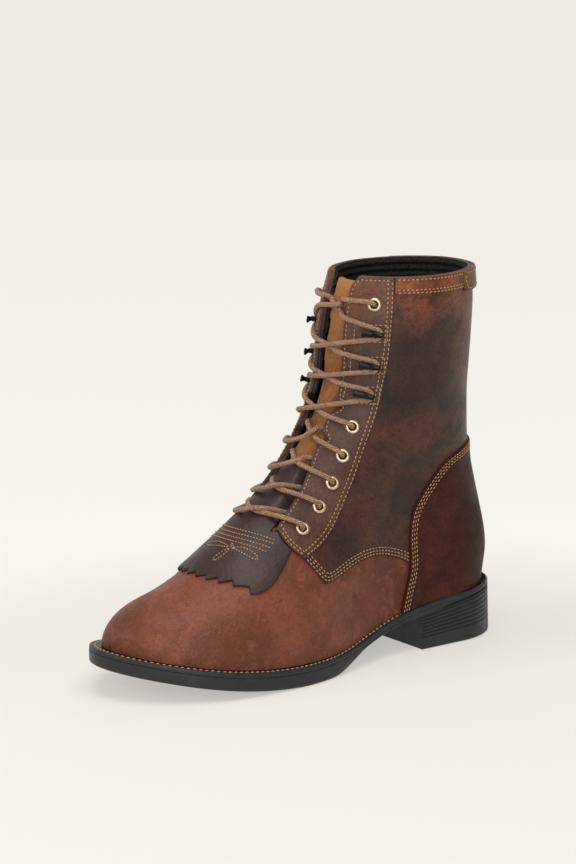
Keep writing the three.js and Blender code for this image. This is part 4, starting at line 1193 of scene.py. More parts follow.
def braided_tube(name, path, radius, material, replaces=()):
    """A round braid along a path, with its way round and along as UVs."""
    tangent = np.gradient(path, axis=0)
    tangent /= np.linalg.norm(tangent, axis=1, keepdims=True)
    normal = np.cross(tangent[0], (0, 0, 1) if abs(tangent[0][2]) < 0.9 else (1, 0, 0))
    frames = []
    for t in tangent:
        normal = normal - t * (normal @ t)
        normal = normal / np.linalg.norm(normal)
        frames.append((normal, np.cross(t, normal)))
    lengths = np.concatenate([[0], np.cumsum(np.linalg.norm(np.diff(path, axis=0), axis=1))])
    angle = 2 * math.pi * np.arange(BRAID_SIDES) / BRAID_SIDES
    points = []
    for centre, (n, b), s in zip(path, frames, lengths):
        turned = 2 * math.pi * s / BRAID_PITCH * 1.5
        wave = np.maximum(np.cos(6 * angle + turned), np.cos(6 * angle - turned))
        r = radius * (0.95 + 0.05 * wave)
        points.append(centre + (r * np.cos(angle))[:, None] * n + (r * np.sin(angle))[:, None] * b)
    faces = tube_faces(len(path), BRAID_SIDES, caps=True)
    piece = new_object(name, np.vstack(points), faces, material, replaces)
    layer = piece.data.uv_layers.new(name="braid")
    round_ = np.tile(np.arange(BRAID_SIDES) / BRAID_SIDES, len(path))
    along_ = np.repeat(lengths / BRAID_PITCH, BRAID_SIDES)
    loops = np.empty(len(piece.data.loops), int)
    piece.data.loops.foreach_get("vertex_index", loops)
    uv = np.stack([round_[loops], along_[loops]], -1)
    last = loops % BRAID_SIDES == 0
    # The seam's faces take the far end of the way round
    for polygon in piece.data.polygons:
        span = range(polygon.loop_start, polygon.loop_start + polygon.loop_total)
        if polygon.loop_total == 4 and any(uv[i, 0] > 0.9 for i in span):
            for i in span:
                if last[i]:
                    uv[i, 0] = 1.0
    layer.data.foreach_set("uv", uv.astype(np.float32).ravel())
    return piece


def lace_end_path(side, radius):
    """From the top hole over the facing's edge and down inside it."""
    frame, r = FRAMES[side, TOP_ROW], radius / MM
    z = frame["z"] + 1.5 * MM
    points = [at(frame, 0, 0.1, 1.0), at(frame, 0.2, 0.3, 3.4), at(frame, 2.4, 1.0, 4.6 + 0.6 * r)]
    # Past the facing's edge toward the middle, over the last, and up; in millimetres
    path = ((-1.2, FACING_TOP + r + 1.4, 0), (1.9, FACING_TOP + r - 0.6, 0.4), (3.7, 0.4, 0.2), (3.9, -3.0, -1.0),
            (2.0, -5.4, -4.0), (0.0, -5.8, -9.0), (-0.8, -5.9, -14.0))
    for beyond, height, up in path:
        points.append(over_throat(z + up * MM, frame["sign"] * (throat_half(z) - beyond * MM), height))
    return points


# Sole

OUTSOLE_LOW, OUTSOLE_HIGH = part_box("outsole")
WELT_TOP_GAP = 0.6 * MM
WELT_THICKNESS = 3 * MM
SOLE_START, SOLE_END = OUTSOLE_LOW.x, OUTSOLE_HIGH.x
SOLE_TOE = 8.5 * MM
SOLE_STATIONS = 220


def sole_edge(x):
    return (3.8 + 2.2 * smooth(0.41, 0.65, station_share(x))) * MM


def underside(x):
    s = station_share(x)
    thick = 8.5 - 2.5 * smooth(0.21, 0.33, s) + 7 * smooth(0.4, 0.54, s) - 1.0 * smooth(0.62, 1, s)
    return seat(x) - thick * MM


def cup(x):
    """How far the sole's rim climbs round the back of the heel seat."""
    return 5 * MM * smooth(40 * MM, -45 * MM, x)


def sole_side(x, inset):
    """Half widths of the sole at stations, outer and inner."""
    open_ = (opening(SOLE_END - inset - x, TOE_ROUND + SOLE_TOE / 2, 2.3)
             * opening(x - SOLE_START - inset, HEEL_ROUND, 2.2))
    edge = sole_edge(x) - inset
    return [np.maximum(plan_half(x, outer) + edge, 0) * open_ for outer in (True, False)]


def sole_stations(inset, count):
    middle, half = (SOLE_START + SOLE_END) / 2, (SOLE_END - SOLE_START) / 2 - inset
    return middle - half * np.cos(np.pi * np.arange(count + 1) / count)


def sole_ring(inset, count):
    """Closed outline of the sole, drawn in by an inset: x and y from the back over the outer side."""
    x = sole_stations(inset, count)
    outer, inner = sole_side(x, inset)
    centre = plan_centre(x)
    return np.concatenate([np.stack([x, centre + outer], -1), np.stack([x, centre - inner], -1)[-2:0:-1]])


def ring_mesh(name, profile, material, replaces):
    """A profile of insets and heights swept round the sole's outline."""
    rings = []
    for inset, height in profile:
        ring = sole_ring(inset * MM, SOLE_STATIONS)
        rings.append(np.concatenate([ring, height(ring[:, 0])[:, None]], 1))
    points = np.vstack(rings)
    faces = tube_faces(len(rings), len(rings[0]), closed=True)
    return new_object(name, points, turned_out(points, faces), material, replaces, angle=40)


def slab_mesh(name, side, material, replaces, tread, draw, across=26):
    """The sole's full slab: side gives levels from bottom to top, each an inset and a height function. Tread lifts
    points of the underside and draw pulls points in toward the heel's middle."""
    rings = []
    for inset, height in side:
        x = sole_stations(inset * MM, SOLE_STATIONS)
        outer, inner = sole_side(x, inset * MM)
        centre = plan_centre(x)
        rings.append((x, centre + outer, centre - inner, height(x)))
    shares = np.linspace(1, -1, across + 2)[1:-1]
    columns = [np.stack([x, left, z], -1) for x, left, _, z in rings]
    x, left, right, z = rings[-1]
    columns += [np.stack([x, (left + right) / 2 + s * (left - right) / 2, z], -1) for s in shares]
    columns += [np.stack([x, right, z], -1) for x, _, right, z in rings[::-1]]
    x, left, right, z = rings[0]
    for s in -shares:
        y = (left + right) / 2 + s * (left - right) / 2
        columns.append(np.stack([x, y, z + tread(x, y, left, right)], -1))
    points = np.stack(columns, 1)
    stations, sides = points.shape[:2]
    points = points.reshape(-1, 3)
    toward = HEEL_MIDDLE - points[:, :2]
    away = np.linalg.norm(toward, axis=1, keepdims=True)
    points[:, :2] += toward / np.maximum(away, 1e-6) * np.minimum(draw(points[:, 0])[:, None], away * 0.05)
    faces = tube_faces(stations, sides)
    return new_object(name, points, turned_out(points, faces), material, replaces, angle=35)


# Settings

def size(name, description, default):
    return bpy.props.FloatProperty(name=name, description=description, default=default, unit="LENGTH",
                                   min=0.0001, precision=4)


def colour(name, description, default):
    return bpy.props.FloatVectorProperty(name=name, description=description, default=default, subtype="COLOR",
                                         size=3, min=0.0, max=1.0)


class BootSizes(bpy.types.PropertyGroup):
    """Sizes that a user would change."""
    lace_diameter: size("Lace diameter", "Thickness of the round lace", 3.3 * MM)
    lace_step: size("Lace step", "Distance between the rings of the lace's mesh", 0.75 * MM)
    stitch_pitch: size("Stitch pitch", "Length of one stitch with its gap", 3.0 * MM)
    welt_pitch: size("Welt stitch pitch", "Length of one stitch of the welt seam", 3.9 * MM)
    thread_diameter: size("Thread diameter", "Thickness of the sewing thread", 0.72 * MM)
    eyelet_flange: size("Eyelet flange", "Outer diameter of an eyelet", 9.0 * MM)
    eyelet_bore: size("Eyelet bore", "Clear diameter of an eyelet", 4.6 * MM)
    hook_reach: size("Hook bar", "Length of a speed hook's bar", 14.2 * MM)
    camera_distance: size("Camera distance", "From the camera to the middle of the picture", 2.0)


class BootColours(bpy.types.PropertyGroup):
    """Colours that a user would change."""
    vamp: colour("Vamp", "Reddish brown leather of the vamp", (0.19, 0.058, 0.03))
    vamp_shade: colour("Vamp shade", "Its darker tone beside the counter and the sole", (0.085, 0.022, 0.011))
    shaft: colour("Shaft", "Dark leather of the shaft", (0.028, 0.013, 0.011))
    shaft_warm: colour("Shaft pull-up", "Reddish tone where the shaft's leather is stretched", (0.175, 0.055, 0.023))
    counter: colour("Counter", "Dark red-brown leather of the counter", (0.06, 0.0145, 0.008))
    facing: colour("Facing", "Leather beside the laces", (0.1, 0.045, 0.028))
    kiltie: colour("Kiltie", "Very dark brown leather of the kiltie", (0.045, 0.022, 0.021))
    tongue: colour("Tongue", "Tan suede of the tongue", (0.34, 0.14, 0.045))
    patch: colour("Back patch", "Tan leather at the top of the back", (0.22, 0.1, 0.04))
    lining: colour("Lining", "Black lining", (0.006, 0.0058, 0.0055))
    rubber: colour("Rubber", "Black rubber of sole and heel", (0.014, 0.014, 0.017))
    lace: colour("Lace", "Brown yarn of the lace", (0.31, 0.165, 0.1))
    lace_fleck: colour("Lace fleck", "Lighter yarn of the lace", (0.5, 0.32, 0.2))
    thread: colour("Thread", "Tan sewing thread", (0.47, 0.265, 0.125))
    brass: colour("Eyelets", "Pale brass", (0.78, 0.6, 0.42))
    enamel: colour("Hooks", "Black enamel", (0.004, 0.004, 0.0045))
    backdrop: colour("Backdrop", "Pale warm floor and wall", (0.86, 0.835, 0.79))


def sizes():
    return bpy.context.scene.boot_sizes


# Operators

class Piece(bpy.types.Operator):
    """Base of the operators, which each add pieces of the boot."""
    bl_options = {"REGISTER", "UNDO"}

    def execute(self, context):
        self.make(context)
        return {"FINISHED"}


class BOOT_OT_camera(Piece):
    """Place the camera at the photograph's view."""
    bl_idname = "boot.camera"
    bl_label = "Camera"

    def make(self, context):
        flat = math.cos(CAMERA_RISE)
        back = Vector((math.sin(CAMERA_YAW) * flat, math.cos(CAMERA_YAW) * flat, math.sin(CAMERA_RISE)))
        camera = bpy.data.objects.new("camera", bpy.data.cameras.new("camera"))
        context.scene.collection.objects.link(camera)
        camera.data.sensor_width = 36
        camera.data.lens = CAMERA_LENS
        camera.data.clip_end = 20
        camera.location = Vector(CAMERA_TARGET) + back * sizes().camera_distance
        camera.rotation_euler = back.to_track_quat("Z", "Y").to_euler()
        context.scene.camera = camera


class BOOT_OT_laces(Piece):
    """Run the round lace through the eyelets and round the hooks, with its two ends inside the top."""
    bl_idname = "boot.laces"
    bl_label = "Laces"

    def make(self, context):
        radius = sizes().lace_diameter / 2
        cord = lace_finish()
        for first in ("lateral", "medial"):
            path = smooth_path(lace_path(first, radius), sizes().lace_step)
            nodes = [f"lace_crossing_{k}" for k in range(1, 9)] if first == "lateral" else ()
            braided_tube(f"lace_{first}", path, radius, cord, nodes)
            end = smooth_path(lace_end_path(first, radius), sizes().lace_step)
            piece = braided_tube(f"lace_tip_{first}", end, radius, cord, (f"lace_end_{first}",))


def rises_along_front(low, high, step):
    """Rises evenly spaced along the front of the last."""
    rises = np.linspace(low, high, 3000)
    fronts = np.interp(rises, RING_RISES, RING_FRONTS)
    way = np.concatenate([[0], np.cumsum(np.hypot(np.diff(fronts), np.diff(level(rises))))])
    return np.interp(np.linspace(0, way[-1], int(way[-1] / step) + 1), way, rises)


COLLAR_EDGE = {"collar": lambda points: COLLAR - points[:, 2]}


def throat_edge():
    """Distance to the throat's edge, positive in the throat; the back of the shaft counts as far outside it."""
    front = front_edge(throat_outline())
    return lambda points: np.where(points[:, 0] < along(0.15), -30 * MM, front(points))


def opening_edges():
    return {"throat": outside(throat_edge()), **COLLAR_EDGE, "hole": hole_edge}


class BOOT_OT_vamp(Piece):
    """Make the vamp and the toe, tucked under the quarters."""
    bl_idname = "boot.vamp"
    bl_label = "Vamp"

    def make(self, context):
        rises = rises_along_front(0, 0.352, 1.7 * MM)
        quarter = side_edge(QUARTER)
        leather_piece("vamp", np.linspace(0.13, 0.87, 300), rises,
                      {"tuck": lambda points: TUCK - quarter(points)}, 0.0, QUARTER_UNDER, vamp_finish(),
                      replaces=("upper",))


class BOOT_OT_quarters(Piece):
    """Make the quarters and the shaft in one wrap with its seam at the back."""
    bl_idname = "boot.quarters"
    bl_label = "Quarters and shaft"

    def make(self, context):
        edges = {"quarter": side_edge(QUARTER), **opening_edges()}
        rows = [("quarter", d * MM) for d in (1.6, 3.6, 5.6)]
        _, runs = leather_piece("quarters", np.linspace(-0.49, 0.49, 286), np.linspace(0, 1, 160), edges,
                                QUARTER_TOP, QUARTER_UNDER, shaft_finish(), rows)
        stitching("quarter_stitches", runs, thread_finish())


class BOOT_OT_overlays(Piece):
    """Make the counter, the collar band, the back patch and the facings, each sewn on."""
    bl_idname = "boot.overlays"
    bl_label = "Counter, band, patch and facings"

    UNDER = QUARTER_TOP - SUNK

    def make(self, context):
        thread, seam = thread_finish(), side_edge(SEAM_BACK)
        self.counter(thread)
        self.band(thread, seam)
        self.patch(thread)
        self.facings(thread, seam)

    def counter(self, thread):
        rows = [("counter", d * MM) for d in (1.6, 3.5, 5.4)]
        _, runs = leather_piece("counter_leather", np.linspace(-0.24, 0.24, 170), np.linspace(0, 0.53, 100),
                                {"counter": side_edge(COUNTER)}, OVERLAY_TOP, self.UNDER, counter_finish(),
                                rows, ("counter",))
        stitching("counter_stitches", runs, thread)

    def band(self, thread, seam):
        edges = {"bottom": lambda points: points[:, 2] - level(BAND_BOTTOM),
                 "seam": lambda points: -seam(points) - 0.2 * MM, **COLLAR_EDGE}
        rows = [("bottom", 1.3 * MM), ("bottom", 3.1 * MM), ("collar", 1.7 * MM)]
        _, runs = leather_piece("collar_binding", np.linspace(-0.4, 0.4, 240), np.linspace(0.94, 1, 15), edges,
                                OVERLAY_TOP, self.UNDER, band_finish(), rows, ("collar_band",),
                                margin=1.2 * MM)
        stitching("collar_stitches", runs, thread)

    def patch(self, thread):
        corner = [(PATCH_FRONT - 0.02 * (1 - math.sin(a)), PATCH_BOTTOM + 0.024 * (1 - math.cos(a)))
                  for a in np.linspace(0, math.pi / 2, 7)]
        outline = side_outline([(-FAR, PATCH_BOTTOM), *corner, (PATCH_FRONT, FAR), (-FAR, FAR)])
        rows = [("patch", 1.8 * MM), ("collar", 1.8 * MM)]
        _, runs = leather_piece("pull_patch", np.linspace(-0.2, 0.2, 130), np.linspace(0.93, 1, 26),
                                {"patch": side_edge(outline), **COLLAR_EDGE}, PATCH_TOP, OVERLAY_TOP - SUNK,
                                patch_finish(), rows, ("back_patch",))
        stitching("patch_stitches", runs, thread)

    def facings(self, thread, seam):
        leather = facing_finish()
        edges = {"seam": seam, "front": side_edge(QUARTER), **opening_edges()}
        rows = [("seam", 1.2 * MM), ("seam", 4.0 * MM), ("front", 1.5 * MM), ("front", 3.5 * MM),
                ("throat", 2.3 * MM), ("collar", 2.3 * MM)]
        for name, turns in (("lateral", (0.3, 0.5)), ("medial", (0.5, 0.7))):
            dimples = [(f["origin"], 6.5 * MM, 0.5 * MM) for (side, _), f in FRAMES.items() if side == name]
            _, runs = leather_piece(f"facing_{name}", np.linspace(*turns, 75), np.linspace(0.25, 1, 190), edges,
                                    OVERLAY_TOP, self.UNDER, leather, rows,
                                    (f"eyestay_{name}",), dimples=dimples)
            stitching(f"facing_stitches_{name}", runs + hook_boxes(name), thread)


HOOK_BOX = [(-9.8, -5.4), (4.4, -5.4), (4.4, 5.4), (-9.8, 5.4), (-9.8, -5.4)]


def hook_boxes(name):
    """A square of stitches round each hook's base, its corners in millimetres outward and up."""
    runs = []
    for (side, _), frame in FRAMES.items():
        if side != name or frame["kind"] != "hook":
            continue
        for a, b in zip(HOOK_BOX, HOOK_BOX[1:]):
            t = np.linspace(0, 1, 9)[:, None]
            flat = np.array(a) * (1 - t) + np.array(b) * t
            y = frame["y"] + frame["sign"] * flat[:, 0] * MM
            places = front_place(frame["z"] + flat[:, 1] * MM, y)
            runs.append(surface_run(places, OVERLAY_TOP + 0.1 * MM))
    return runs


class BOOT_OT_lining(Piece):
    """Make the quilted lining inside the shaft."""
    bl_idname = "boot.lining"
    bl_label = "Lining"

    def make(self, context):
        edges = {"throat": outside(throat_edge()), "hole": hole_edge}
        rises = np.concatenate([np.linspace(0.03, 0.9, 60), np.linspace(0.9, 1, 40)[1:]])

        def quilted(place):
            below = COLLAR - level(place[:, 1])
            seams = sum(np.exp(-((d * MM - below) / (1.1 * MM)) ** 2) for d in QUILT_SEAMS)
            padded = smooth(0.75, 0.85, place[:, 1]) * (1 - seams) * smooth(0, 3 * MM, below)
            return -WALL - QUILT_DEPTH * padded
        sheet = Sheet(np.linspace(-0.49, 0.49, 150), rises, edges)
        two_sided("shaft_lining", sheet, skin(sheet.place, LINING_UNDER), skin(sheet.place, quilted(sheet.place)),
                  lining_finish())


class BOOT_OT_tongue(Piece):
    """Make the suede tongue with its soft folds."""
    bl_idname = "boot.tongue"
    bl_label = "Tongue"

    def make(self, context):
        wide, top, round_ = 28 * MM, level(0.984), 15 * MM
        corner = [(wide - round_ * (1 - math.cos(a)), top - round_ * (1 - math.sin(a)))
                  for a in np.linspace(0, math.pi / 2, 8)]
        outline = np.array([(wide, 0.0), *corner, (-wide, top), (-wide, 0.0)])

        def raised(place):
            rise, (_, y, z) = place[:, 1], last_points(place).T
            away = np.abs(y)
            low_sides = smooth(8 * MM, 15 * MM, away) * smooth(0.52, 0.49, rise)
            fall = tongue_fall(away, rise) + 0.6 * TONGUE_FALL * low_sides
            folds = 0.9 * np.sin(z / (9 * MM) + 1.5 * np.sin(y / (11 * MM)))
            folds += 0.5 * np.sin(z / (5.1 * MM) + y / (8 * MM) + 1.0)
            folds *= smooth(0.42, 0.55, rise) * smooth(0.97, 0.9, rise)
            return TONGUE_TOP - fall + (folds - 1.4) * MM * 0.6

        rises = rises_along_front(0.26, 0.99, 1.3 * MM)
        leather_piece("tongue_suede", np.linspace(0.37, 0.63, 80), rises, {"side": front_edge(outline)}, raised,
                      lambda place: raised(place) - TONGUE_THICKNESS, suede_finish(),
                      replaces=("tongue",), round_=1.3 * MM)


def kiltie_outline():
    """The kiltie seen from above: one side, the pinked edge, the other side."""
    side = [(along(s), y * BALL_WIDTH) for s, y in KILTIE_SIDE] + KILTIE_ROUND
    edge = []
    pitch = 2 * KILTIE_CORNER / KILTIE_TEETH
    for i in range(KILTIE_TEETH + 1):
        for y, deep in ((KILTIE_CORNER - i * pitch, 0.0), (KILTIE_CORNER - (i + 0.3) * pitch, TOOTH_DEPTH)):
            if y >= -KILTIE_CORNER - 1e-9:
                edge.append((along(KILTIE_TIP - KILTIE_CURVE * y * y) - deep, y * BALL_WIDTH))
    return np.array(side + edge + [(x, -y) for x, y in side[::-1]])


def kiltie_top(place):
    """Top of the kiltie over the last; it falls where it passes under the facings, with the lace between."""
    fall = KILTIE_FALL * under_edge(throat_edge()(last_points(place))) * smooth(0.352, 0.385, place[:, 1])
    return kiltie_under(place[:, 1]) + KILTIE_THICKNESS - fall


# Kiltie stitching seen from above, in millimetres: rows by their front and curve, petals by their ends and width
KILTIE_ROWS = [(168.2, 0.02, 26), (170.9, 0.02, 27), (173.4, 0.0185, 27.5), (175.8, 0.017, 28)]
PETALS = [((178.4, 9.8), (180.8, -9.5), 3.6), ((178.6, 11.2), (189.2, 7.6), 3.8), ((176.8, 12.8), (169.4, 28.2), 4.2),
          ((177.6, 13.6), (175.6, 9.0), 2.0)]


def kiltie_curves():
    for front, curve, reach in KILTIE_ROWS:
        y = np.linspace(-reach, reach, 60)
        yield np.stack([front - curve * y * y, y], -1)
    for start, tip, wide in PETALS:
        start, tip = np.array(start), np.array(tip)
        axis = tip - start
        side = np.array([-axis[1], axis[0]]) / np.linalg.norm(axis)
        t = np.linspace(0, 2 * np.pi, 48)[:, None]
        bulge = np.sin(t) * (0.75 - 0.25 * np.cos(t))
        yield start + axis * (1 - np.cos(t)) / 2 + side * wide / 2 * bulge


class BOOT_OT_kiltie(Piece):
    """Make the kiltie with its pinked edge and decorative stitching."""
    bl_idname = "boot.kiltie"
    bl_label = "Kiltie"

    def make(self, context):
        quarter, throat = side_edge(QUARTER), front_edge(throat_outline(0.6 * MM, WALL))
        widened = front_edge(throat_outline(-7 * MM, WALL))

        def room(points):
            inner = np.where(points[:, 2] > level(0.372), widened(points), throat(points))
            return np.maximum(-quarter(points) - 0.4 * MM, inner)
        edges = {"fan": plan_edge(kiltie_outline()), "room": room}
        leather_piece("kiltie_leather", np.linspace(0.3, 0.7, 214), rises_along_front(0.2, 0.5, 0.95 * MM), edges,
                      kiltie_top, lambda place: kiltie_top(place) - KILTIE_THICKNESS - 0.2 * MM, kiltie_finish(),
                      replaces=("kiltie",), round_=0.8 * MM)
        runs = []
        for curve in kiltie_curves():
            places = plan_place(curve[:, 0] * MM, curve[:, 1] * MM)
            runs.append(surface_run(places, kiltie_top(places) + 0.12 * MM))
        stitching("kiltie_stitches", runs, thread_finish(), pitch=2.1 * MM)


LATHE_SIDES = 32


def lathed(profile, frame):
    """Points of a turned part over a lace hole's frame; the profile is in millimetres."""
    axes = np.array([frame["inward"], frame["up"], frame["out"]])
    if np.linalg.det(axes) < 0:
        axes[0] = -axes[0]
    angle = 2 * math.pi * np.arange(LATHE_SIDES) / LATHE_SIDES
    points = []
    for radius, height in profile:
        local = np.stack([radius * np.cos(angle), radius * np.sin(angle), np.full(LATHE_SIDES, height)], -1) * MM
        points.append(frame["origin"] + local @ axes)
    return np.vstack(points)


class BOOT_OT_eyelets(Piece):
    """Make the brass eyelets, each a rolled ring with its barrel through the leather."""
    bl_idname = "boot.eyelets"
    bl_label = "Eyelets"

    def make(self, context):
        bore, flange = sizes().eyelet_bore / 2 / MM, sizes().eyelet_flange / 2 / MM
        brass = brass_finish()
        profile = [(bore, -2.2), (bore, 2.2), (bore + 0.12, 2.9), (bore + 0.45, 3.4), (bore + 0.95, 3.58),
                   (flange - 0.8, 3.45), (flange - 0.3, 3.15), (flange, 2.75), (flange, 2.5), (flange - 0.4, 2.25),
                   (bore + 0.5, 2.2), (bore + 0.45, -2.2)]
        for (side, number), frame in FRAMES.items():
            if frame["kind"] != "eyelet":
                continue
            points = lathed(profile, frame)
            faces = tube_faces(len(profile), LATHE_SIDES, closed=True)
            new_object(f"eyelet_ring_{side}_{number}", points, turned_out(points, faces), brass,
                       (f"eyelet_{side}_{number}",))


class BOOT_OT_hooks(Piece):
    """Make the black speed hooks: a riveted base, a stem and a flared bar."""
    bl_idname = "boot.hooks"
    bl_label = "Speed hooks"

    # Bar: way from its outer end to its inner end, half width, half thickness, lift
    BAR = [(-1.0, 0.3, 0.3, 0.0), (-0.98, 1.2, 1.1, 0.0), (-0.92, 1.6, 1.5, 0.0), (-0.8, 1.75, 1.6, 0.0),
           (-0.2, 1.7, 1.5, 0.0), (-0.1, 1.5, 1.2, 0.0), (0.1, 1.35, 0.9, 0.0), (0.35, 1.6, 0.75, 0.1),
           (0.65, 2.0, 0.7, 0.2), (0.93, 2.4, 0.7, 0.4), (0.99, 2.3, 0.55, 0.5), (1.02, 1.9, 0.25, 0.5)]
    BAR_SIDES = 20
    BAR_INWARD = 1.3
    BASE_HEIGHT = 2.5

    def make(self, context):
        enamel = enamel_finish()
        foot = self.BASE_HEIGHT
        base = [(0.05, foot - 0.6), (3.9, foot - 0.6), (4.0, foot + 0.4), (3.8, foot + 0.9), (3.2, foot + 1.15),
                (2.0, foot + 1.35), (1.85, foot + 2.0), (1.8, foot + 5.2), (0.05, foot + 5.2)]
        reach = sizes().hook_reach / 2 / MM
        angle = 2 * math.pi * np.arange(self.BAR_SIDES) / self.BAR_SIDES
        wave = np.stack([np.cos(angle), np.sin(angle)], -1)
        round_ = np.sign(wave) * np.abs(wave) ** 0.8
        for (side, number), frame in FRAMES.items():
            if frame["kind"] != "hook":
                continue
            turned = lathed(base, frame)
            faces = tube_faces(len(base), LATHE_SIDES, caps=True)
            bar = []
            for share, wide, thick, lift in self.BAR:
                for v, w in round_:
                    bar.append(at(frame, share * reach + self.BAR_INWARD, wide * v, foot + 5.7 + lift + thick * w))
            bar = np.array(bar)
            bar_faces = turned_out(bar, tube_faces(len(self.BAR), self.BAR_SIDES, caps=True))
            points = np.vstack([turned, bar])
            faces = turned_out(turned, faces) + [[i + len(turned) for i in f] for f in bar_faces]
            new_object(f"speed_hook_{side}_{number}", points, faces, enamel,
                       (f"hook_{side}_{number}",), angle=50)


def tread(x, y, left, right):
    """Plain cross grooves of the sole's underside, clear of its edges and of the heel."""
    inside = smooth(4 * MM, 7 * MM, np.minimum(left - y, y - right))
    wave = smooth(0.55, 0.8, np.cos(2 * math.pi * (x - 12 * (y / 0.05) ** 2 * MM) / (9 * MM)))
    return 1.1 * MM * wave * inside * smooth(along(0.42), along(0.45), x)


class BOOT_OT_sole(Piece):
    """Make the rubber outsole, the welt with its seam, and the ribbed heel."""
    bl_idname = "boot.sole"
    bl_label = "Welt, outsole and heel"

    def make(self, context):
        rubber = rubber_finish()

        def low(lift):
            return lambda x: underside(x) + lift * MM

        def high(drop):
            return lambda x: seat(x) - WELT_TOP_GAP - WELT_THICKNESS - (0.1 + drop) * MM

        def rim(drop):
            return lambda x: high(drop)(x) + cup(x)
        side = [(2.0, low(0)), (1.0, low(0.08)), (0.45, low(0.4)), (0.12, low(1.0)), (0.0, low(1.8)),
                (0.0, lambda x: 0.5 * (underside(x) + rim(0)(x))), (0.0, rim(0.6)), (0.05, rim(0.15)),
                (0.3, rim(0)), (1.4, rim(0)), (4.5, high(0))]
        slab_mesh("outsole_rubber", side, rubber, ("outsole",), tread=tread,
                  draw=lambda x: 1.3 * MM * smooth(32 * MM, 12 * MM, x))

        def top(drop):
            return lambda x: seat(x) - WELT_TOP_GAP - drop * MM

        def lip(drop):
            return lambda x: top(drop)(x) + cup(x)
        profile = [(13.0, top(0.3)), (7.5, top(0.0)), (4.9, top(0.0)), (4.4, top(0.0)), (4.0, top(0.3)),
                   (3.5, top(0.42)), (3.0, top(0.3)), (2.6, top(0.0)), (1.3, lip(0.0)), (0.7, lip(0.12)),
                   (0.3, lip(0.5)), (0.15, lip(1.1)), (0.12, lip(2.2)), (0.15, lip(2.85)), (0.3, lip(3.0)),
                   (1.4, lip(3.0)), (4.5, top(3.0)), (13.0, top(3.0))]
        ring_mesh("welt_strip", profile, rubber_finish("welt_rubber", 1.1), ("welt",))
        ring = sole_ring(3.5 * MM, 500)
        ring = ring[ring[:, 0] > along(0.27)]
        run = np.concatenate([ring, (seat(ring[:, 0]) - WELT_TOP_GAP - 0.1 * MM)[:, None],
                              np.tile([0.0, 0.0, 1.0], (len(ring), 1))], 1)
        stitching("welt_stitches", [run], thread_finish(), sizes().welt_pitch, 1.5)
        self.heel(rubber)

    def heel(self, rubber):
        """The heel block: rings from the floor up, drawn in at the ribs and at the floor's edge."""
        sides, steps = 46, 84
        rings = []
        for share in np.linspace(0, 1, steps):
            up = (share - (1 - RIBBED_SHARE)) / (RIBBED_SHARE / HEEL_RIBS)
            wave = 0.5 - 0.5 * math.cos(2 * math.pi * up) if up > 0 else 0
            draw = RIB_DEPTH * wave ** 3 + 1.2 * MM * max(0, 1 - share / 0.05) ** 2 - HEEL_FLARE * (1 - share)
            breast = HEEL_BREAST - 1 * MM * (1 - share)
            back = SOLE_START + draw
            x = back + (breast - back) * (1 - np.sin(math.pi / 2 * np.arange(sides + 1) / sides))
            outer, inner = [(plan_half(x, half) + sole_edge(x) - draw) * opening(x - back, HEEL_ROUND, 2.2)
                            for half in (True, False)]
            centre = plan_centre(x)
            z = share * (underside(x) + (1.0 + 7.8 * smooth(38 * MM, -36 * MM, x)) * MM)
            rings.append(np.concatenate([np.stack([x, centre + outer, z], -1),
                                         np.stack([x, centre - inner, z], -1)[-2::-1]]))
        points = np.vstack(rings)
        count = len(rings[0])
        faces = tube_faces(steps, count)
        # The two ends close with strips between the outer and inner halves
        for first, flip in ((0, False), ((steps - 1) * count, True)):
            for j in range(sides):
                a, b = first + j, first + j + 1
                c, d = first + count - 2 - j, first + count - 1 - j
                quad = (a, b, c, d) if b != c else (a, b, d)
                faces.append(quad[::-1] if flip else quad)
        new_object("heel_block", points, turned_out(points, faces), rubber, ("heel",), angle=40)


class BOOT_OT_insole(Piece):
    """Give the insole its finish."""
    bl_idname = "boot.insole"
    bl_label = "Insole"

    def make(self, context):
        node = bpy.data.objects["insole"]
        board = board_finish()
        if not node.material_slots:
            node.data.materials.append(board)
        for slot in node.material_slots:
            slot.material = board


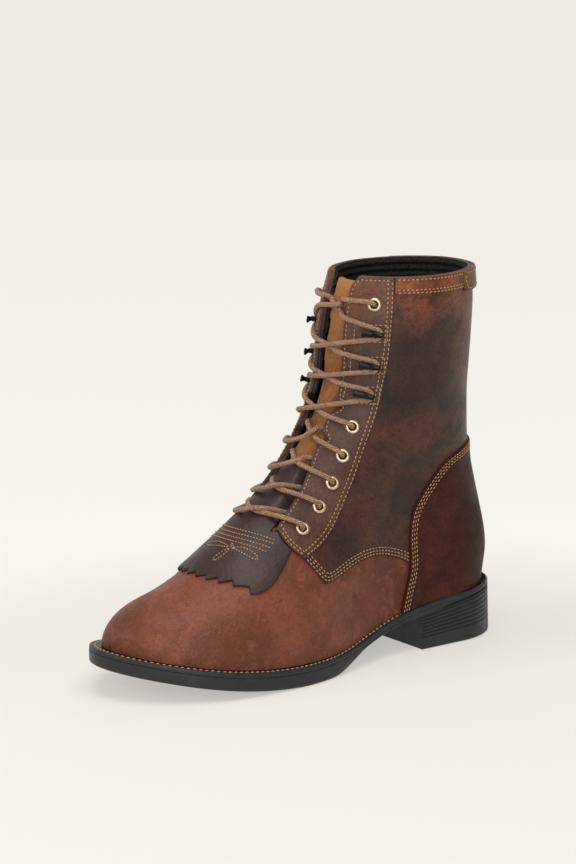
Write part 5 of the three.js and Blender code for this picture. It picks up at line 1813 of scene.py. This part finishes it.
class BOOT_OT_stage(Piece):
    """Set the pale floor and the soft studio light."""
    bl_idname = "boot.stage"
    bl_label = "Stage"

    # Lamps: name, place, the point it faces, width in metres, power in watts
    LAMPS = [("overhead", (0.3, 0.4, 1.9), (0.1, 0, 0.1), 1.6, 25.0),
             ("front", (1.5, 1.9, 0.9), (0.1, 0, 0.12), 1.4, 28.0),
             ("toe", (1.9, -0.5, 1.0), (0.12, 0, 0.1), 1.0, 12.0)]
    WORLD_STRENGTH = 0.28

    def make(self, context):
        self.backdrop(context)
        for lamp in self.LAMPS:
            self.light(*lamp)
        world = bpy.data.worlds.new("studio")
        context.scene.world = world
        world.use_nodes = True
        background = world.node_tree.nodes["Background"]
        background.inputs[0].default_value = (1.0, 0.985, 0.96, 1)
        background.inputs[1].default_value = self.WORLD_STRENGTH
        context.scene.view_settings.view_transform = "Standard"

    def backdrop(self, context):
        """A floor that curves up into a wall behind the boot."""
        f = Finish("backdrop", Roughness=0.9)
        c = colours().backdrop
        # The wall and the far floor glow a little more, where the lamps reach them less
        x, y = f.math("SUBTRACT", f.axis("X"), 0.22), f.math("SUBTRACT", f.axis("Y"), 0.25)
        away = f.math("SQRT", f.math("ADD", f.times(x, x), f.times(y, y)))
        far = f.ramp(away, 0.24, 0.75)
        f.set("Base Color", f.mix(far, shade(c, 0.42), shade(c, 0.15)))
        f.set("Emission Color", (*c, 1.0))
        f.set("Emission Strength", f.ramp(far, 0, 1, 0.53, 0.885))
        reach, bend, wall, high = 14.0, 0.9, 2.4, 3.4
        turn = np.linspace(0, math.pi / 2, 12)
        profile = [(reach, 0.0), *((-wall - bend * math.sin(a), bend - bend * math.cos(a)) for a in turn),
                   (-wall - bend, high)]
        toward = Vector((math.sin(CAMERA_YAW), math.cos(CAMERA_YAW), 0))
        across = Vector((math.cos(CAMERA_YAW), -math.sin(CAMERA_YAW), 0))
        points = [toward * distance + across * side + Vector((0, 0, height - 0.2 * MM))
                  for distance, height in profile for side in (-reach, reach)]
        faces = [(2 * i, 2 * i + 1, 2 * i + 3, 2 * i + 2) for i in range(len(profile) - 1)]
        mesh = bpy.data.meshes.new("backdrop")
        mesh.from_pydata(points, [], faces)
        mesh.shade_smooth()
        mesh.materials.append(f.material)
        backdrop = bpy.data.objects.new("backdrop", mesh)
        context.scene.collection.objects.link(backdrop)

    def light(self, name, place, target, width, power):
        lamp = bpy.data.lights.new(name, "AREA")
        lamp.shape, lamp.size, lamp.energy = "SQUARE", width, power
        lamp.color = (1.0, 0.97, 0.93)
        light = bpy.data.objects.new(name, lamp)
        light.location = place
        light.rotation_euler = (Vector(place) - Vector(target)).to_track_quat("Z", "Y").to_euler()
        bpy.context.scene.collection.objects.link(light)


OPERATORS = (BOOT_OT_camera, BOOT_OT_laces, BOOT_OT_vamp, BOOT_OT_quarters, BOOT_OT_overlays, BOOT_OT_lining,
             BOOT_OT_tongue, BOOT_OT_kiltie, BOOT_OT_eyelets, BOOT_OT_hooks, BOOT_OT_sole, BOOT_OT_insole,
             BOOT_OT_stage)


class BOOT_PT_panel(bpy.types.Panel):
    """Lists the boot's pieces and settings."""
    bl_idname = "BOOT_PT_panel"
    bl_label = "Lacer boot"
    bl_space_type = "VIEW_3D"
    bl_region_type = "UI"
    bl_category = "Boot"

    def draw(self, context):
        layout = self.layout
        for operator in OPERATORS:
            layout.operator(operator.bl_idname)
        for group in (context.scene.boot_sizes, context.scene.boot_colours):
            box = layout.box()
            for name in group.__annotations__:
                box.prop(group, name)


CLASSES = (BootSizes, BootColours, *OPERATORS, BOOT_PT_panel)


def register():
    for cls in CLASSES:
        bpy.utils.register_class(cls)
    bpy.types.Scene.boot_sizes = bpy.props.PointerProperty(type=BootSizes)
    bpy.types.Scene.boot_colours = bpy.props.PointerProperty(type=BootColours)


def unregister():
    del bpy.types.Scene.boot_colours
    del bpy.types.Scene.boot_sizes
    for cls in reversed(CLASSES):
        bpy.utils.unregister_class(cls)


def main():
    register()
    for operator in OPERATORS:
        getattr(bpy.ops.boot, operator.bl_idname.split(".")[1])()


if __name__ == "__main__":
    main()
